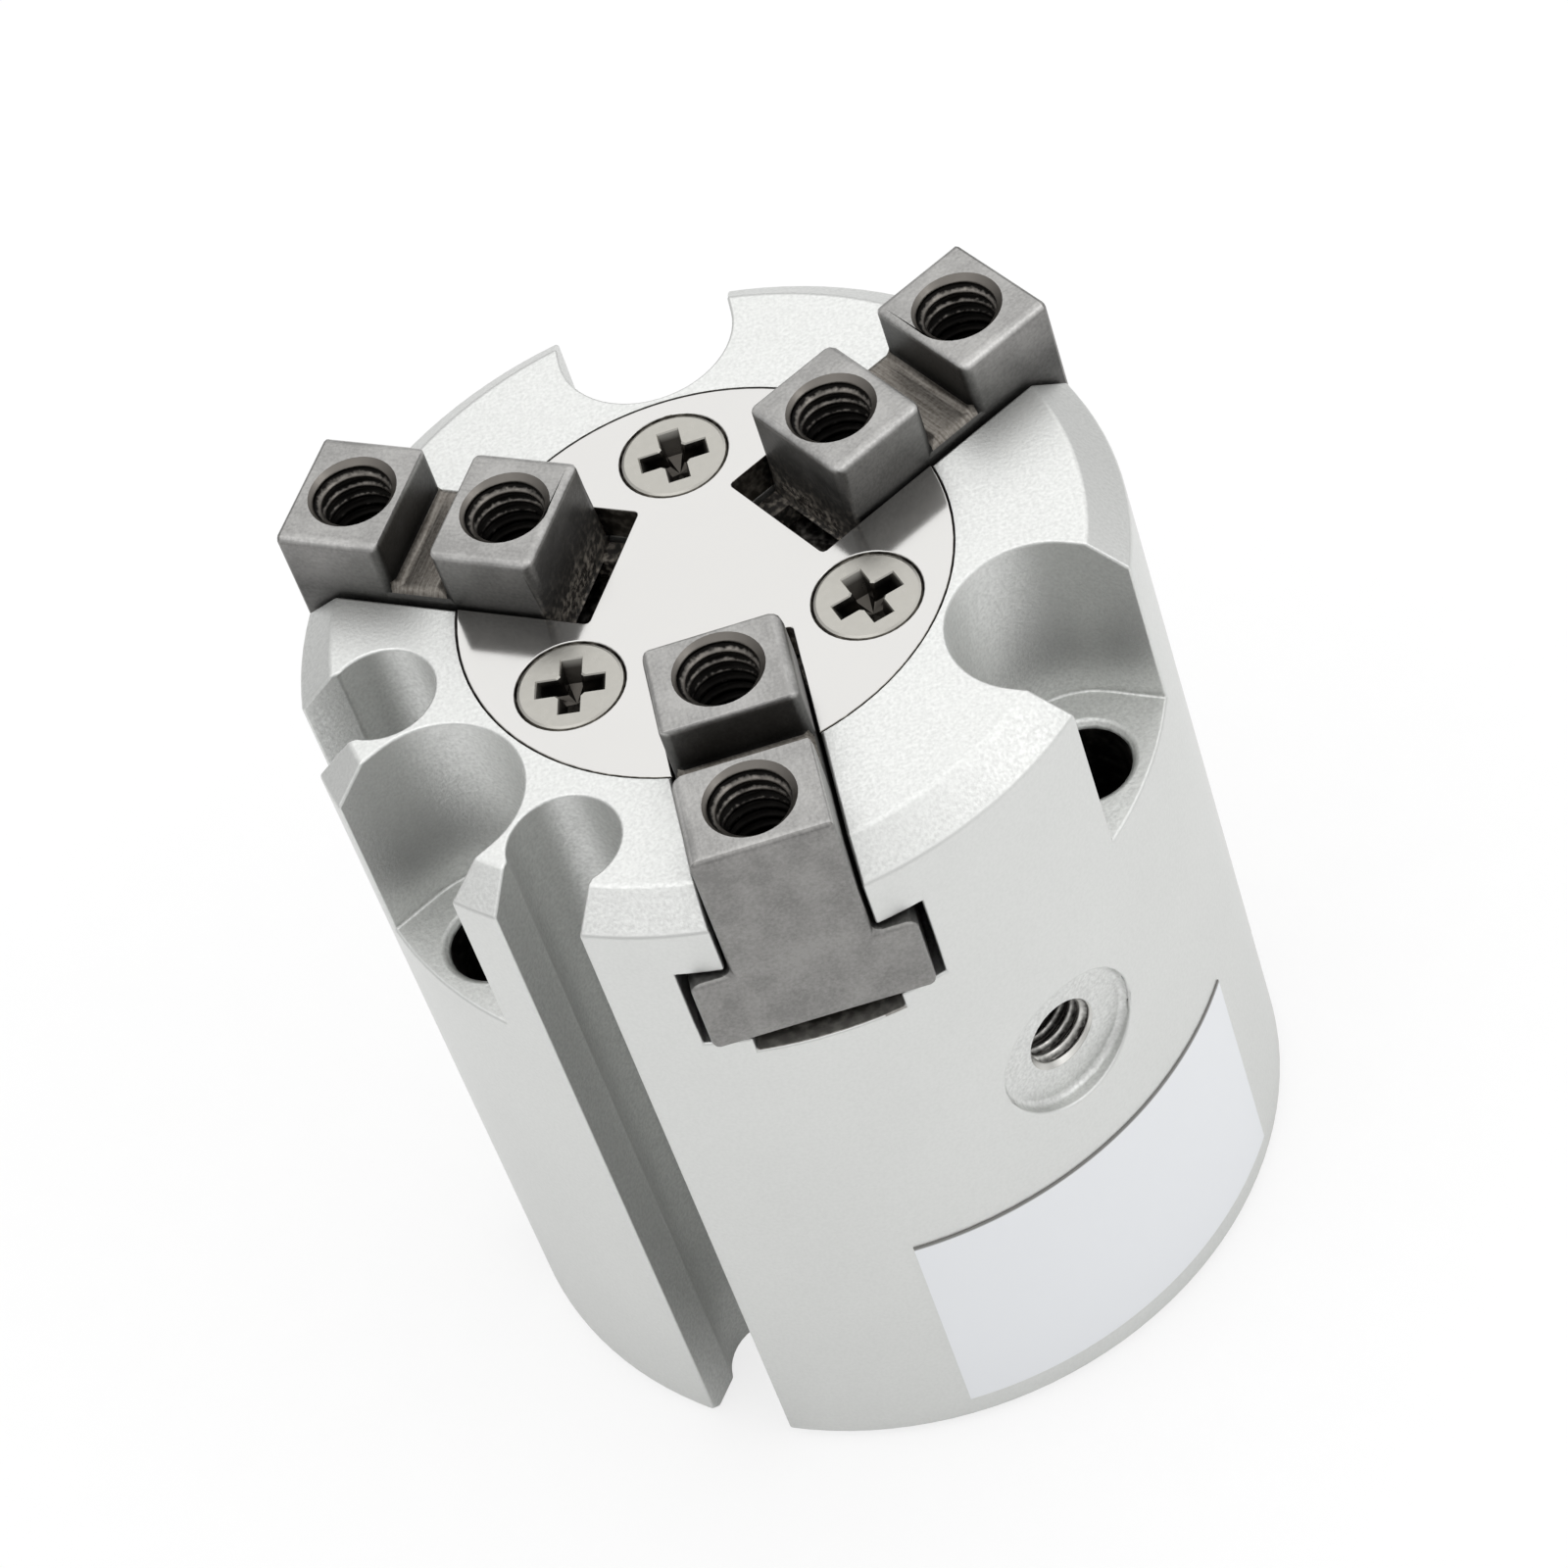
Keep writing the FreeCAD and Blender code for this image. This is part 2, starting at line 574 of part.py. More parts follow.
def jaw(label, angle):
    """A steel jaw: two blocks on a stem, a T-flange, and the inclined groove in its nose."""
    body = new_body(label, at("0", "0", "0", str(angle)))
    flange_foot = f"({SLOT_FLOOR} + flange_floor_play)"
    flange_top = f"({SLOT_LIP} - flange_play)"
    leg_foot = f"({SLOT_RELIEF} + leg_play)"
    top = "(body_height + jaw_rise)"
    notch = "(body_height + notch_rise)"
    drawing = sketch(body, f"{label}_side")
    outline(drawing, [
        (jaw_face(leg_foot), leg_foot),
        ("leg_end", leg_foot),
        ("leg_end", flange_foot),
        ("jaw_end", flange_foot),
        ("jaw_end", top),
        ("notch_end", top),
        ("notch_end", notch),
        ("block_end", notch),
        ("block_end", top),
        ("block_start", top),
        ("block_start", NOSE_TOP),
        (jaw_face(NOSE_TOP), NOSE_TOP),
    ])
    feature(body, "Pad", f"{label}_stem", drawing, "jaw_width", both_ways=True)
    drawing = sketch(body, f"{label}_flange_side")
    outline(drawing, [
        (jaw_face(flange_foot), flange_foot),
        ("jaw_end", flange_foot),
        ("jaw_end", flange_top),
        (jaw_face(flange_top), flange_top),
    ])
    feature(body, "Pad", f"{label}_flange", drawing, "flange_width", both_ways=True)

    # The inclined T-groove: a narrow neck through the lip, and a wide head behind it.
    low, high = f"({leg_foot} - leg_play)", f"({NOSE_TOP} + nose_play)"
    for part, inside, outside, width in (
        ("neck", "-face_gap", "groove_lip", "groove_neck_width"),
        ("head", "groove_lip", "(groove_lip + groove_head)", "groove_head_width"),
    ):
        drawing = sketch(body, f"{label}_groove_{part}_side")
        outline(drawing, inclined_strip(inside, outside, low, high))
        feature(body, "Pocket", f"{label}_groove_{part}", drawing, width, both_ways=True)

    for place, middle in (("near", "jaw_hole_near"), ("far", "jaw_hole_far")):
        bottom = f"({top} - jaw_hole_depth)"
        bored(
            body,
            f"{label}_hole_{place}",
            [(middle, f"{bottom} - drill_point"), (middle, top)],
            [
                (middle, f"{bottom} - drill_point"),
                (f"{middle} + jaw_hole_radius", bottom),
                (f"{middle} + jaw_hole_radius", f"{top} - jaw_hole_bevel"),
                (f"{middle} + jaw_hole_radius + jaw_hole_bevel", top),
                (middle, top),
            ],
        )


def wedge_cam():
    """The wedge cam: a hub with three lobes, each with an inclined T-rail that moves a jaw."""
    body = new_body("wedge_cam", at("0", "0", "0", str(RIGHT)))
    turned(body, "cam_hub", rectangle("0", "cam_hub_radius", CAM_FOOT, CAM_TOP))
    drawing = sketch(body, "cam_lobe_side")
    outline(drawing, [
        ("0", CAM_FOOT),
        (cam_face(CAM_FOOT), CAM_FOOT),
        (cam_face(CAM_TOP), CAM_TOP),
        ("0", CAM_TOP),
    ])
    lobe = feature(body, "Pad", "cam_lobe", drawing, "cam_lobe_width", both_ways=True)
    rails = []
    for part, inside, outside, width in (
        ("neck", "-2 * face_gap", "(groove_lip + rail_play)", "groove_neck_width - 2 * rail_play"),
        ("head", "(groove_lip + rail_play)", "(groove_lip + groove_head - rail_play)",
         "groove_head_width - 2 * rail_play"),
    ):
        drawing = sketch(body, f"rail_{part}_side")
        outline(drawing, inclined_strip(inside, outside, CAM_FOOT, CAM_TOP))
        rails.append(feature(body, "Pad", f"rail_{part}", drawing, width, both_ways=True))
    repeated(body, "cam_stations", [lobe] + rails)
    bored(body, "cam_outside", [("0", CAM_FOOT), ("0", CAM_TOP)],
          rectangle("cam_reach", "cam_reach + groove_lip + groove_head", CAM_FOOT, CAM_TOP))
    bore = "spigot_radius + fit_gap"
    seat = f"({CAM_TOP} - screw_head_height - screw_play)"
    bored(
        body,
        "cam_bore",
        [("0", CAM_FOOT), ("0", CAM_TOP)],
        [
            ("0", CAM_FOOT),
            (bore, CAM_FOOT),
            (bore, f"{SPIGOT_TOP} + fit_gap"),
            ("screw_shank_radius + screw_play", f"{SPIGOT_TOP} + fit_gap"),
            ("screw_shank_radius + screw_play", seat),
            ("screw_head_radius + screw_play", f"{CAM_TOP} - screw_rim"),
            ("screw_head_radius + screw_play", CAM_TOP),
            ("0", CAM_TOP),
        ],
    )


def piston_rod():
    """Ground steel rod: a spigot for the cam on top, and a threaded tail through the piston."""
    body = new_body("piston_rod")
    shoulder = f"({PISTON_TOP} - seat_depth)"
    turned(body, "rod_turned", [
        ("0", f"{PISTON_FOOT} + nut_cover"),
        ("tail_radius", f"{PISTON_FOOT} + nut_cover"),
        ("tail_radius", shoulder),
        ("rod_radius", shoulder),
        ("rod_radius", CAM_FOOT),
        ("spigot_radius", CAM_FOOT),
        ("spigot_radius", SPIGOT_TOP),
        ("0", SPIGOT_TOP),
    ])
    tapped = "screw_core_radius + thread_play"
    bottom = f"({CAM_TOP} - cam_screw_length - hole_bevel)"
    bored(body, "rod_tapped_hole", [("0", bottom), ("0", SPIGOT_TOP)],
          rectangle("0", tapped, bottom, SPIGOT_TOP))


def piston():
    """Aluminium piston with grooves for its seal, magnet and guide ring."""
    body = new_body("piston")
    nut_seat = f"({PISTON_FOOT} + nut_cover + nut_height)"
    shoulder = f"({PISTON_TOP} - seat_depth)"
    corners = [
        ("tail_radius + fit_gap", nut_seat),
        ("nut_room", nut_seat),
        ("nut_room", PISTON_FOOT),
        ("piston_radius - piston_bevel", PISTON_FOOT),
        ("piston_radius", f"{PISTON_FOOT} + piston_bevel"),
    ]
    for floor, low, high in PISTON_GROOVES.values():
        corners += [("piston_radius", low), (floor, low), (floor, high), ("piston_radius", high)]
    corners += [
        ("piston_radius", f"{PISTON_TOP} - land_height"),
        ("land_radius", f"{PISTON_TOP} - land_height"),
        ("land_radius", PISTON_TOP),
        ("rod_radius + fit_gap", PISTON_TOP),
        ("rod_radius + fit_gap", shoulder),
        ("tail_radius + fit_gap", shoulder),
    ]
    turned(body, "piston_turned", corners)


PISTON_GROOVES = {
    "wear_ring": ("wear_floor", f"({PISTON_FOOT} + wear_rise)", f"({PISTON_FOOT} + wear_rise + wear_width)"),
    "magnet_ring": ("magnet_floor", f"({PISTON_TOP} - magnet_drop - magnet_width)",
                    f"({PISTON_TOP} - magnet_drop)"),
    "piston_seal": ("seal_floor", f"({PISTON_TOP} - seal_drop - seal_width)", f"({PISTON_TOP} - seal_drop)"),
}


def piston_rings():
    """The rings round the piston: only the seal and the guide ring reach the bore."""
    reach = {"wear_ring": "bore_radius - ring_play", "magnet_ring": "piston_radius"}
    for label, outer in reach.items():
        floor, low, high = PISTON_GROOVES[label]
        ring(label, f"{floor} + ring_play", outer, f"{low} + ring_play", f"{high} - ring_play")
    floor, low, high = PISTON_GROOVES["piston_seal"]
    body = new_body("piston_seal")
    lip = "(bore_radius - ring_play)"
    turned(body, "piston_seal_turned", [
        (f"{floor} + ring_play", f"{low} + ring_play"),
        (f"{lip} - seal_width / 4", f"{low} + ring_play"),
        (lip, f"{low} + seal_width / 4"),
        (f"{lip} - seal_width / 4", f"{low} + seal_width / 2"),
        (lip, f"{high} - seal_width / 4"),
        (f"{lip} - seal_width / 4", f"{high} - ring_play"),
        (f"{floor} + ring_play", f"{high} - ring_play"),
    ])


def piston_nut():
    """Hexagon nut that holds the piston on the rod."""
    body = new_body("piston_nut")
    foot = f"({PISTON_FOOT} + nut_cover)"
    drawing = sketch(body, "nut_hexagon", "XY_Plane", at("0", "0", foot))
    corner = "nut_flats / 2 / cos(30)"
    outline(drawing, [(f"{corner} * cos({angle})", f"{corner} * sin({angle})") for angle in range(30, 390, 60)])
    feature(body, "Pad", "nut_blank", drawing, "nut_height")
    top = f"({foot} + nut_height)"
    bored(body, "nut_hole", [("0", foot), ("0", top)], rectangle("0", "tail_radius + thread_play", foot, top))


def rod_guide():
    """In the end wall: a bronze bush, the rod seal under it, and the washer that holds the seal."""
    ring("rod_bush", "rod_radius + rod_play", "bush_radius - fit_gap / 2", SEAL_SEAT, WELL_FLOOR)
    retainer_top = f"({WALL_FLOOR} + retainer_thickness)"
    ring("seal_retainer", "rod_radius + face_gap", "seal_seat_radius - fit_gap / 2", WALL_FLOOR, retainer_top)
    body = new_body("rod_seal")
    wall = "(rod_radius + ring_play)"
    depth = f"({SEAL_SEAT} - {retainer_top})"
    turned(body, "rod_seal_turned", [
        (wall, f"{retainer_top} + ring_play"),
        (f"{wall} + ({depth}) / 3", f"{retainer_top} + ({depth}) / 3"),
        ("seal_seat_radius - ring_play", f"{retainer_top} + ring_play"),
        ("seal_seat_radius - ring_play", f"{SEAL_SEAT} - ring_play"),
        (f"{wall} + ring_play", f"{SEAL_SEAT} - ring_play"),
    ])


def end_closure():
    """Rubber stops, the end cap with its O-ring, and the retaining ring that holds the cap."""
    ring("upper_bumper", "bumper_inner", "bumper_outer", f"{WALL_FLOOR} - bumper_thickness", WALL_FLOOR)
    ring("lower_bumper", "bumper_inner", "bumper_outer", CAP_TOP, f"{CAP_TOP} + bumper_thickness")

    body = new_body("end_cap")
    rim = "(bore_radius - fit_gap)"
    seal_foot = f"({CAP_FOOT} + cap_seal_rise)"
    seal_top = f"({seal_foot} + cap_seal_width)"
    turned(body, "cap_turned", [
        ("0", f"{CAP_FOOT} + cap_hollow_depth"),
        ("cap_hollow_radius", f"{CAP_FOOT} + cap_hollow_depth"),
        ("cap_hollow_radius", CAP_FOOT),
        (rim, CAP_FOOT),
        (rim, seal_foot),
        ("cap_seal_floor", seal_foot),
        ("cap_seal_floor", seal_top),
        (rim, seal_top),
        (rim, f"{CAP_TOP} - cap_bevel"),
        (f"{rim} - cap_bevel", CAP_TOP),
        ("0", CAP_TOP),
    ])

    # The O-ring's round section is drawn with eight corners.
    body = new_body("end_cap_seal")
    middle, height = "(cap_seal_floor + bore_radius) / 2", f"{seal_foot} + cap_seal_width / 2"
    reach = "((bore_radius - cap_seal_floor) / 2 - ring_play)"
    turned(body, "cap_seal_ring", [
        (f"{middle} + {reach} * cos({angle})", f"{height} + {reach} * sin({angle})") for angle in range(0, 360, 45)
    ])

    # The retaining ring is open towards the front, with an eye at each end for the pliers.
    body = ring("retaining_ring", "ring_inner", "ring_groove_radius - ring_play", "ring_foot", CAP_FOOT)
    drawing = sketch(body, "ring_gap_outline", "XY_Plane", at("0", "0", "ring_foot"))
    half_gap = "ring_gap_width / 2"
    outline(drawing, rectangle(f"-{half_gap}", half_gap, "-ring_groove_radius", "-lug_radius"))
    feature(body, "Pocket", "ring_gap", drawing, "ring_thickness", reverse=True)
    for side, sign in (("left", "-"), ("right", "")):
        x = f"{sign}({half_gap} + lug_hole_radius)"
        y = "-(ring_inner - lug_radius - 2 * ring_play)"
        drawing = sketch(body, f"eye_{side}_round", "XY_Plane", at("0", "0", "ring_foot"))
        circle(drawing, x, y, "lug_radius")
        circle(drawing, x, y, "lug_hole_radius")
        feature(body, "Pad", f"eye_{side}", drawing, "ring_thickness")


housing()
cover_plate()
for screw_label, screw_angle in SCREW_ANGLES.items():
    across, along = f"screw_circle_radius * cos({screw_angle})", f"screw_circle_radius * sin({screw_angle})"
    countersunk_screw(screw_label, "cover_screw_length", "plate_thickness",
                      at(across, along, "body_height", str(screw_angle)))
for jaw_label, jaw_angle in JAW_ANGLES.items():
    jaw(jaw_label, jaw_angle)
wedge_cam()
countersunk_screw("cam_screw", "cam_screw_length", f"({CAM_TOP} - {SPIGOT_TOP} - fit_gap)", at("0", "0", CAM_TOP))
piston_rod()
piston()
piston_rings()
piston_nut()
rod_guide()
end_closure()
doc.recompute()

faults = []
for item in doc.Objects:
    if "Invalid" in item.State or "Error" in item.State:
        faults.append(f"{item.Label} is {item.State}")
    removes = item.isDerivedFrom("PartDesign::Pocket") or item.isDerivedFrom("PartDesign::Groove")
    if removes and not item.Shape.Volume < item.BaseFeature.Shape.Volume:
        faults.append(f"{item.Label} cuts nothing")
for piece in pieces:
    if piece.Shape.isNull() or not piece.Shape.isValid() or len(piece.Shape.Solids) != 1:
        faults.append(f"{piece.Label} is not one sound solid")
if faults:
    raise SystemExit("\n".join(faults))

os.makedirs("parts", exist_ok=True)
for piece in pieces:
    piece.Shape.exportStep(f"parts/{piece.Label}.step")
    print(piece.Label, round(piece.Shape.Volume, 2))
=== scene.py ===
import math

import bmesh
import bpy
from mathutils import Euler, Matrix, Vector


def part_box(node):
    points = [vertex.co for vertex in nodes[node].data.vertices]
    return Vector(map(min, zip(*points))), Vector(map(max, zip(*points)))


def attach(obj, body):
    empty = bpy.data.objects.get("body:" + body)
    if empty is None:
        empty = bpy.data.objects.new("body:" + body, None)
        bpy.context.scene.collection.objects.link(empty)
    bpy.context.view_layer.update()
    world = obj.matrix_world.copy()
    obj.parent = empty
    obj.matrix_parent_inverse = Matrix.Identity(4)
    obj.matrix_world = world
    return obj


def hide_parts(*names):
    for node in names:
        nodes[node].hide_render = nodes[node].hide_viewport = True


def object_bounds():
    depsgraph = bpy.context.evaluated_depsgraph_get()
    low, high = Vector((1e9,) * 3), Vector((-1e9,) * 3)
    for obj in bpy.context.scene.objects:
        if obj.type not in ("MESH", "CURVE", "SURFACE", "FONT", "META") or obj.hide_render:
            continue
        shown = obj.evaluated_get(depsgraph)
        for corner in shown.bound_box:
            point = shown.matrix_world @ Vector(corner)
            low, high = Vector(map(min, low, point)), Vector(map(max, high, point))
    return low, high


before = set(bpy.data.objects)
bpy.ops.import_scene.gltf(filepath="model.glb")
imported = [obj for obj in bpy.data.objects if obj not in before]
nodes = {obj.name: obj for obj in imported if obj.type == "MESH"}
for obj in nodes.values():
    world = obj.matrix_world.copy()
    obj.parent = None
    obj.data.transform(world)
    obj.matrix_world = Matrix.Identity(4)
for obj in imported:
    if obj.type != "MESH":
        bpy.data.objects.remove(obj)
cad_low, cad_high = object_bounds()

MM = 0.001


# Housing. A round body turned from aluminium bar, bored from both ends, and milled for the
# jaw slots, the screw pockets and the sensor grooves. It is bead blasted and anodised clear,
# so it is a pale matte grey with a fine grain. The jaw slots stay bare, and are greased; their
# dark finish is grease and painted shade. The pocket holes' walls are painted dark as shade.
JAW_ANGLES = {"jaw_front": 270, "jaw_right": 30, "jaw_left": 150}
POCKET_ANGLES = (90, 210, 330)
POCKET_CIRCLE, POCKET_HOLE_RADIUS = 12.5 * MM, 1.7 * MM
SLOT_HALF_WIDTH = 4.5 * MM
SLOT_FLOOR, SLOT_RELIEF = 7.1 * MM, 7.8 * MM
PLATE_SEAT_RADIUS, UNDER_PLATE, WELL_REACH = 9.0 * MM, 1.6 * MM, 6.0 * MM
TAP_DRILL_RADIUS, HOLE_BEVEL = 1.25 * MM, 0.22 * MM
PORT_SEAT_DEPTH, PORT_SEAT_REACH = 0.65 * MM, 3.2 * MM
# Each port's height, its angle round the body, and how deep it is drilled below its seat.
PORTS = {
    "upper_port_thread": (17.3 * MM, math.radians(-59.4), 6.1 * MM),
    "lower_port_thread": (4.5 * MM, math.radians(9), 4.5 * MM),
}
# How far an edge is rounded, and the shares of that at the cover's seat and at the ports' seats.
HOUSING_EDGE, PLATE_SEAT_SHARE, PORT_SEAT_SHARE = 0.12 * MM, 0.12, 2.2
# How far a corner may lie from a size and still be on it.
HAIR, CLOSE, NEAR = 0.02 * MM, 0.05 * MM, 0.1 * MM
WELD, FLAT_ANGLE = 0.004 * MM, math.radians(0.6)
HOUSING_COLOUR, DUST_AND_LIGHT_COLOUR = "#D9DAD8", "#B4B2AE"
BLAST_GRAIN, BLAST_CLOUD, SMEAR_SIZE = 0.13 * MM, 5 * MM, 0.35 * MM
# Where greased metal turns paler towards the outer wall: dust, and painted light at the slots' mouths.
DUST_AND_LIGHT_START, DUST_AND_LIGHT_FULL, DUST_AND_LIGHT_SHARE = 1.0 * MM, 0.4 * MM, 0.5
housing_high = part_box("housing")[1]
body_radius = housing_high.y
body_top = housing_high.z


def linear(hex_colour):
    """A colour written in sRGB hex, as the linear numbers that a shader takes."""
    parts = [int(hex_colour[start:start + 2], 16) / 255 for start in (1, 3, 5)]
    return [part / 12.92 if part <= 0.04045 else ((part + 0.055) / 1.055) ** 2.4 for part in parts] + [1]


def add_node(tree, kind, inputs=None, **settings):
    """One node with its settings. An input is a value, a socket, or a node whose first output feeds it."""
    node = tree.nodes.new(kind)
    for name, value in settings.items():
        setattr(node, name, value)
    for name, value in (inputs or {}).items():
        if isinstance(value, bpy.types.Node):
            value = value.outputs[0]
        if isinstance(value, bpy.types.NodeSocket):
            tree.links.new(value, node.inputs[name])
        else:
            node.inputs[name].default_value = value
    return node


def new_finish(name):
    """An empty material: itself, its tree, and the place on the piece that its patterns follow."""
    finish = bpy.data.materials.new(name)
    finish.use_nodes = True
    tree = finish.node_tree
    tree.nodes.clear()
    return finish, tree, add_node(tree, "ShaderNodeTexCoord").outputs["Object"]


def bead_blasted_aluminium():
    """Beads leave sparkling dimples 0.13 mm across on the top and in the pockets; the side is nearly smooth."""
    finish, tree, place = new_finish("bead_blasted_anodised_aluminium")
    parts = add_node(tree, "ShaderNodeSeparateXYZ", {0: place})
    flat = add_node(tree, "ShaderNodeCombineXYZ", {"X": parts.outputs["X"], "Y": parts.outputs["Y"]})
    from_axis = add_node(tree, "ShaderNodeVectorMath", {0: flat}, operation="LENGTH").outputs["Value"]
    in_pockets = add_node(tree, "ShaderNodeMapRange", {
        "Value": parts.outputs["Z"], "From Min": body_top - 1.4 * MM, "From Max": body_top - 0.1 * MM,
        "To Min": 1.0, "To Max": 0.6})
    coarse = add_node(tree, "ShaderNodeMapRange", {
        "Value": from_axis, "From Min": body_radius - 0.04 * MM, "From Max": body_radius - 0.2 * MM,
        "To Min": 0.12, "To Max": in_pockets})
    dimples = add_node(tree, "ShaderNodeTexNoise", {"Vector": place, "Scale": 1 / BLAST_GRAIN, "Detail": 2.0})
    cloud = add_node(tree, "ShaderNodeTexNoise", {"Vector": place, "Scale": 1 / BLAST_CLOUD, "Detail": 3.0})
    grain = add_node(tree, "ShaderNodeMapRange", {
        "Value": dimples, "From Min": 0.3, "From Max": 0.7, "To Min": -0.12, "To Max": 0.06})
    speckle = add_node(tree, "ShaderNodeMath", {0: grain, 1: coarse}, operation="MULTIPLY")
    shade = add_node(tree, "ShaderNodeMapRange", {
        "Value": cloud, "From Min": 0.3, "From Max": 0.7, "To Min": 0.98, "To Max": 1.0})
    tone = add_node(tree, "ShaderNodeMath", {0: shade, 1: speckle}, operation="ADD")
    colour = add_node(tree, "ShaderNodeVectorMath", {
        0: linear(HOUSING_COLOUR)[:3], "Scale": tone}, operation="SCALE")
    rough = add_node(tree, "ShaderNodeMapRange", {
        "Value": dimples, "From Min": 0.3, "From Max": 0.7, "To Min": 0.52, "To Max": 0.42})
    depth = add_node(tree, "ShaderNodeMath", {0: coarse, 1: 0.6}, operation="MULTIPLY")
    bump = add_node(tree, "ShaderNodeBump", {"Height": dimples, "Strength": depth, "Distance": 0.02 * MM})
    shader = add_node(tree, "ShaderNodeBsdfPrincipled", {
        "Base Color": colour, "Metallic": 1.0, "Roughness": rough, "Normal": bump})
    add_node(tree, "ShaderNodeOutputMaterial", {"Surface": shader})
    return finish


def greased_metal(name, thin, thick):
    """Machined metal under grease: grey where thin, dark and glossy where thick, and paler and duller at the outer
    wall, as dust and as painted light that lifts the slots' mouths.
    """
    finish, tree, place = new_finish(name)
    smear = add_node(tree, "ShaderNodeTexNoise", {"Vector": place, "Scale": 1 / SMEAR_SIZE, "Detail": 4.0})
    film = add_node(tree, "ShaderNodeValToRGB", {0: smear})
    film.color_ramp.elements[0].position = 0.45
    film.color_ramp.elements[0].color = linear(thick)
    film.color_ramp.elements[1].position = 0.72
    film.color_ramp.elements[1].color = linear(thin)
    level = add_node(tree, "ShaderNodeVectorMath", {0: place, 1: (1.0, 1.0, 0.0)}, operation="MULTIPLY")
    # Dust and painted light: paler and less metallic towards the outer wall.
    dust_and_light = add_node(tree, "ShaderNodeMapRange", {
        "Value": add_node(tree, "ShaderNodeVectorMath", {0: level}, operation="LENGTH").outputs["Value"],
        "From Min": body_radius - DUST_AND_LIGHT_START, "From Max": body_radius - DUST_AND_LIGHT_FULL, "To Max": DUST_AND_LIGHT_SHARE})
    colour = add_node(tree, "ShaderNodeMix", {
        0: dust_and_light, 6: film, 7: linear(DUST_AND_LIGHT_COLOUR)}, data_type="RGBA").outputs[2]
    metal = add_node(tree, "ShaderNodeMapRange", {"Value": dust_and_light, "To Min": 1.0, "To Max": 0.3})
    rough = add_node(tree, "ShaderNodeMapRange", {"Value": smear, "To Min": 0.18, "To Max": 0.55})
    bump = add_node(tree, "ShaderNodeBump", {"Height": smear, "Strength": 0.6, "Distance": 0.05 * MM})
    shader = add_node(tree, "ShaderNodeBsdfPrincipled", {
        "Base Color": colour, "Metallic": metal, "Roughness": rough, "Normal": bump})
    add_node(tree, "ShaderNodeOutputMaterial", {"Surface": shader})
    return finish


def merged_copy(node):
    """A solid's loose triangles joined up, with its flat faces whole again, ready to be worked on."""
    mesh = nodes[node].data.copy()
    mesh.attributes.remove(mesh.attributes["custom_normal"])
    shape = bmesh.new()
    shape.from_mesh(mesh)
    bpy.data.meshes.remove(mesh)
    bmesh.ops.remove_doubles(shape, verts=shape.verts, dist=WELD)
    bmesh.ops.dissolve_limit(shape, angle_limit=FLAT_ANGLE, verts=shape.verts, edges=shape.edges)
    for face in shape.faces:
        face.smooth = True
    for edge in shape.edges:
        edge.smooth = True
    return shape


def open_hole(shape, mouth, axis, reach, depth):
    """Take out the plain wall of a drilled hole, so that a threaded one can go in its place."""
    wall = []
    for face in shape.faces:
        offsets = [vert.co - mouth for vert in face.verts]
        heights = [offset.dot(axis) for offset in offsets]
        spans = [(offset - axis * height).length for offset, height in zip(offsets, heights)]
        if max(spans) < reach and min(heights) > -depth and max(heights) < 0.01 * MM:
            wall.append(face)
    bmesh.ops.delete(shape, geom=wall, context="FACES")


def new_piece(name, shape, finishes, edge_radius=0.0, sharp_from=32, share=None):
    """A shape as an object, its edges rounded, each by its share of the radius, or kept sharp without one."""
    weights = shape.edges.layers.float.new("bevel_weight_edge")
    for edge in shape.edges:
        if edge.is_manifold and edge.calc_face_angle() > math.radians(sharp_from):
            edge[weights] = share((edge.verts[0].co + edge.verts[1].co) / 2) if share else 1.0
            edge.smooth = edge[weights] > 0
    mesh = bpy.data.meshes.new(name)
    shape.to_mesh(mesh)
    shape.free()
    for finish in finishes:
        mesh.materials.append(finish)
    piece = bpy.data.objects.new(name, mesh)
    bpy.context.scene.collection.objects.link(piece)
    if edge_radius:
        rounding = piece.modifiers.new("edge_rounding", "BEVEL")
        rounding.width = edge_radius
        rounding.segments = 3
        rounding.limit_method = "WEIGHT"
        rounding.use_clamp_overlap = False
        rounding.harden_normals = True
    else:
        mesh.set_sharp_from_angle(angle=math.radians(sharp_from))
    return piece


shape = merged_copy("housing")
port_mouths = {}
for name, (height, angle, depth) in PORTS.items():
    outwards = Vector((math.cos(angle), math.sin(angle), 0))
    mouth = outwards * (body_radius - PORT_SEAT_DEPTH) + Vector((0, 0, height))
    port_mouths[name] = (mouth, outwards, depth)
    open_hole(shape, mouth, outwards, TAP_DRILL_RADIUS + HOLE_BEVEL + HAIR, depth + TAP_DRILL_RADIUS)


def finish_of(face):
    """Grease lies on the slots' floors and round the cam, darkened further as painted shade; the drilled holes'
    walls are painted dark as the shade inside them.
    """
    spot = face.calc_center_median()
    for degrees in JAW_ANGLES.values():
        inside = Matrix.Rotation(math.radians(-degrees), 3, "Z") @ spot
        if abs(inside.y) < SLOT_HALF_WIDTH and 0 < inside.x < body_radius - CLOSE:
            low = body_top - SLOT_RELIEF - CLOSE < spot.z < body_top - SLOT_FLOOR + CLOSE
            return int(low or (spot.z < body_top - UNDER_PLATE and spot.xy.length < WELL_REACH))
    for degrees in POCKET_ANGLES:
        centre = Vector((math.cos(math.radians(degrees)), math.sin(math.radians(degrees)))) * POCKET_CIRCLE
        if max((vert.co.xy - centre).length for vert in face.verts) < POCKET_HOLE_RADIUS + HAIR:
            return 2
    return 0


def housing_share(spot):
    """The cover's seat is cut crisp, the ports' seats have a round corner, and the rest is just broken."""
    if abs(spot.xy.length - PLATE_SEAT_RADIUS) < NEAR:
        return PLATE_SEAT_SHARE
    for mouth, outwards, _ in port_mouths.values():
        if abs((spot - mouth).dot(outwards)) < CLOSE and (spot - mouth).length < PORT_SEAT_REACH:
            return PORT_SEAT_SHARE
    return 1.0


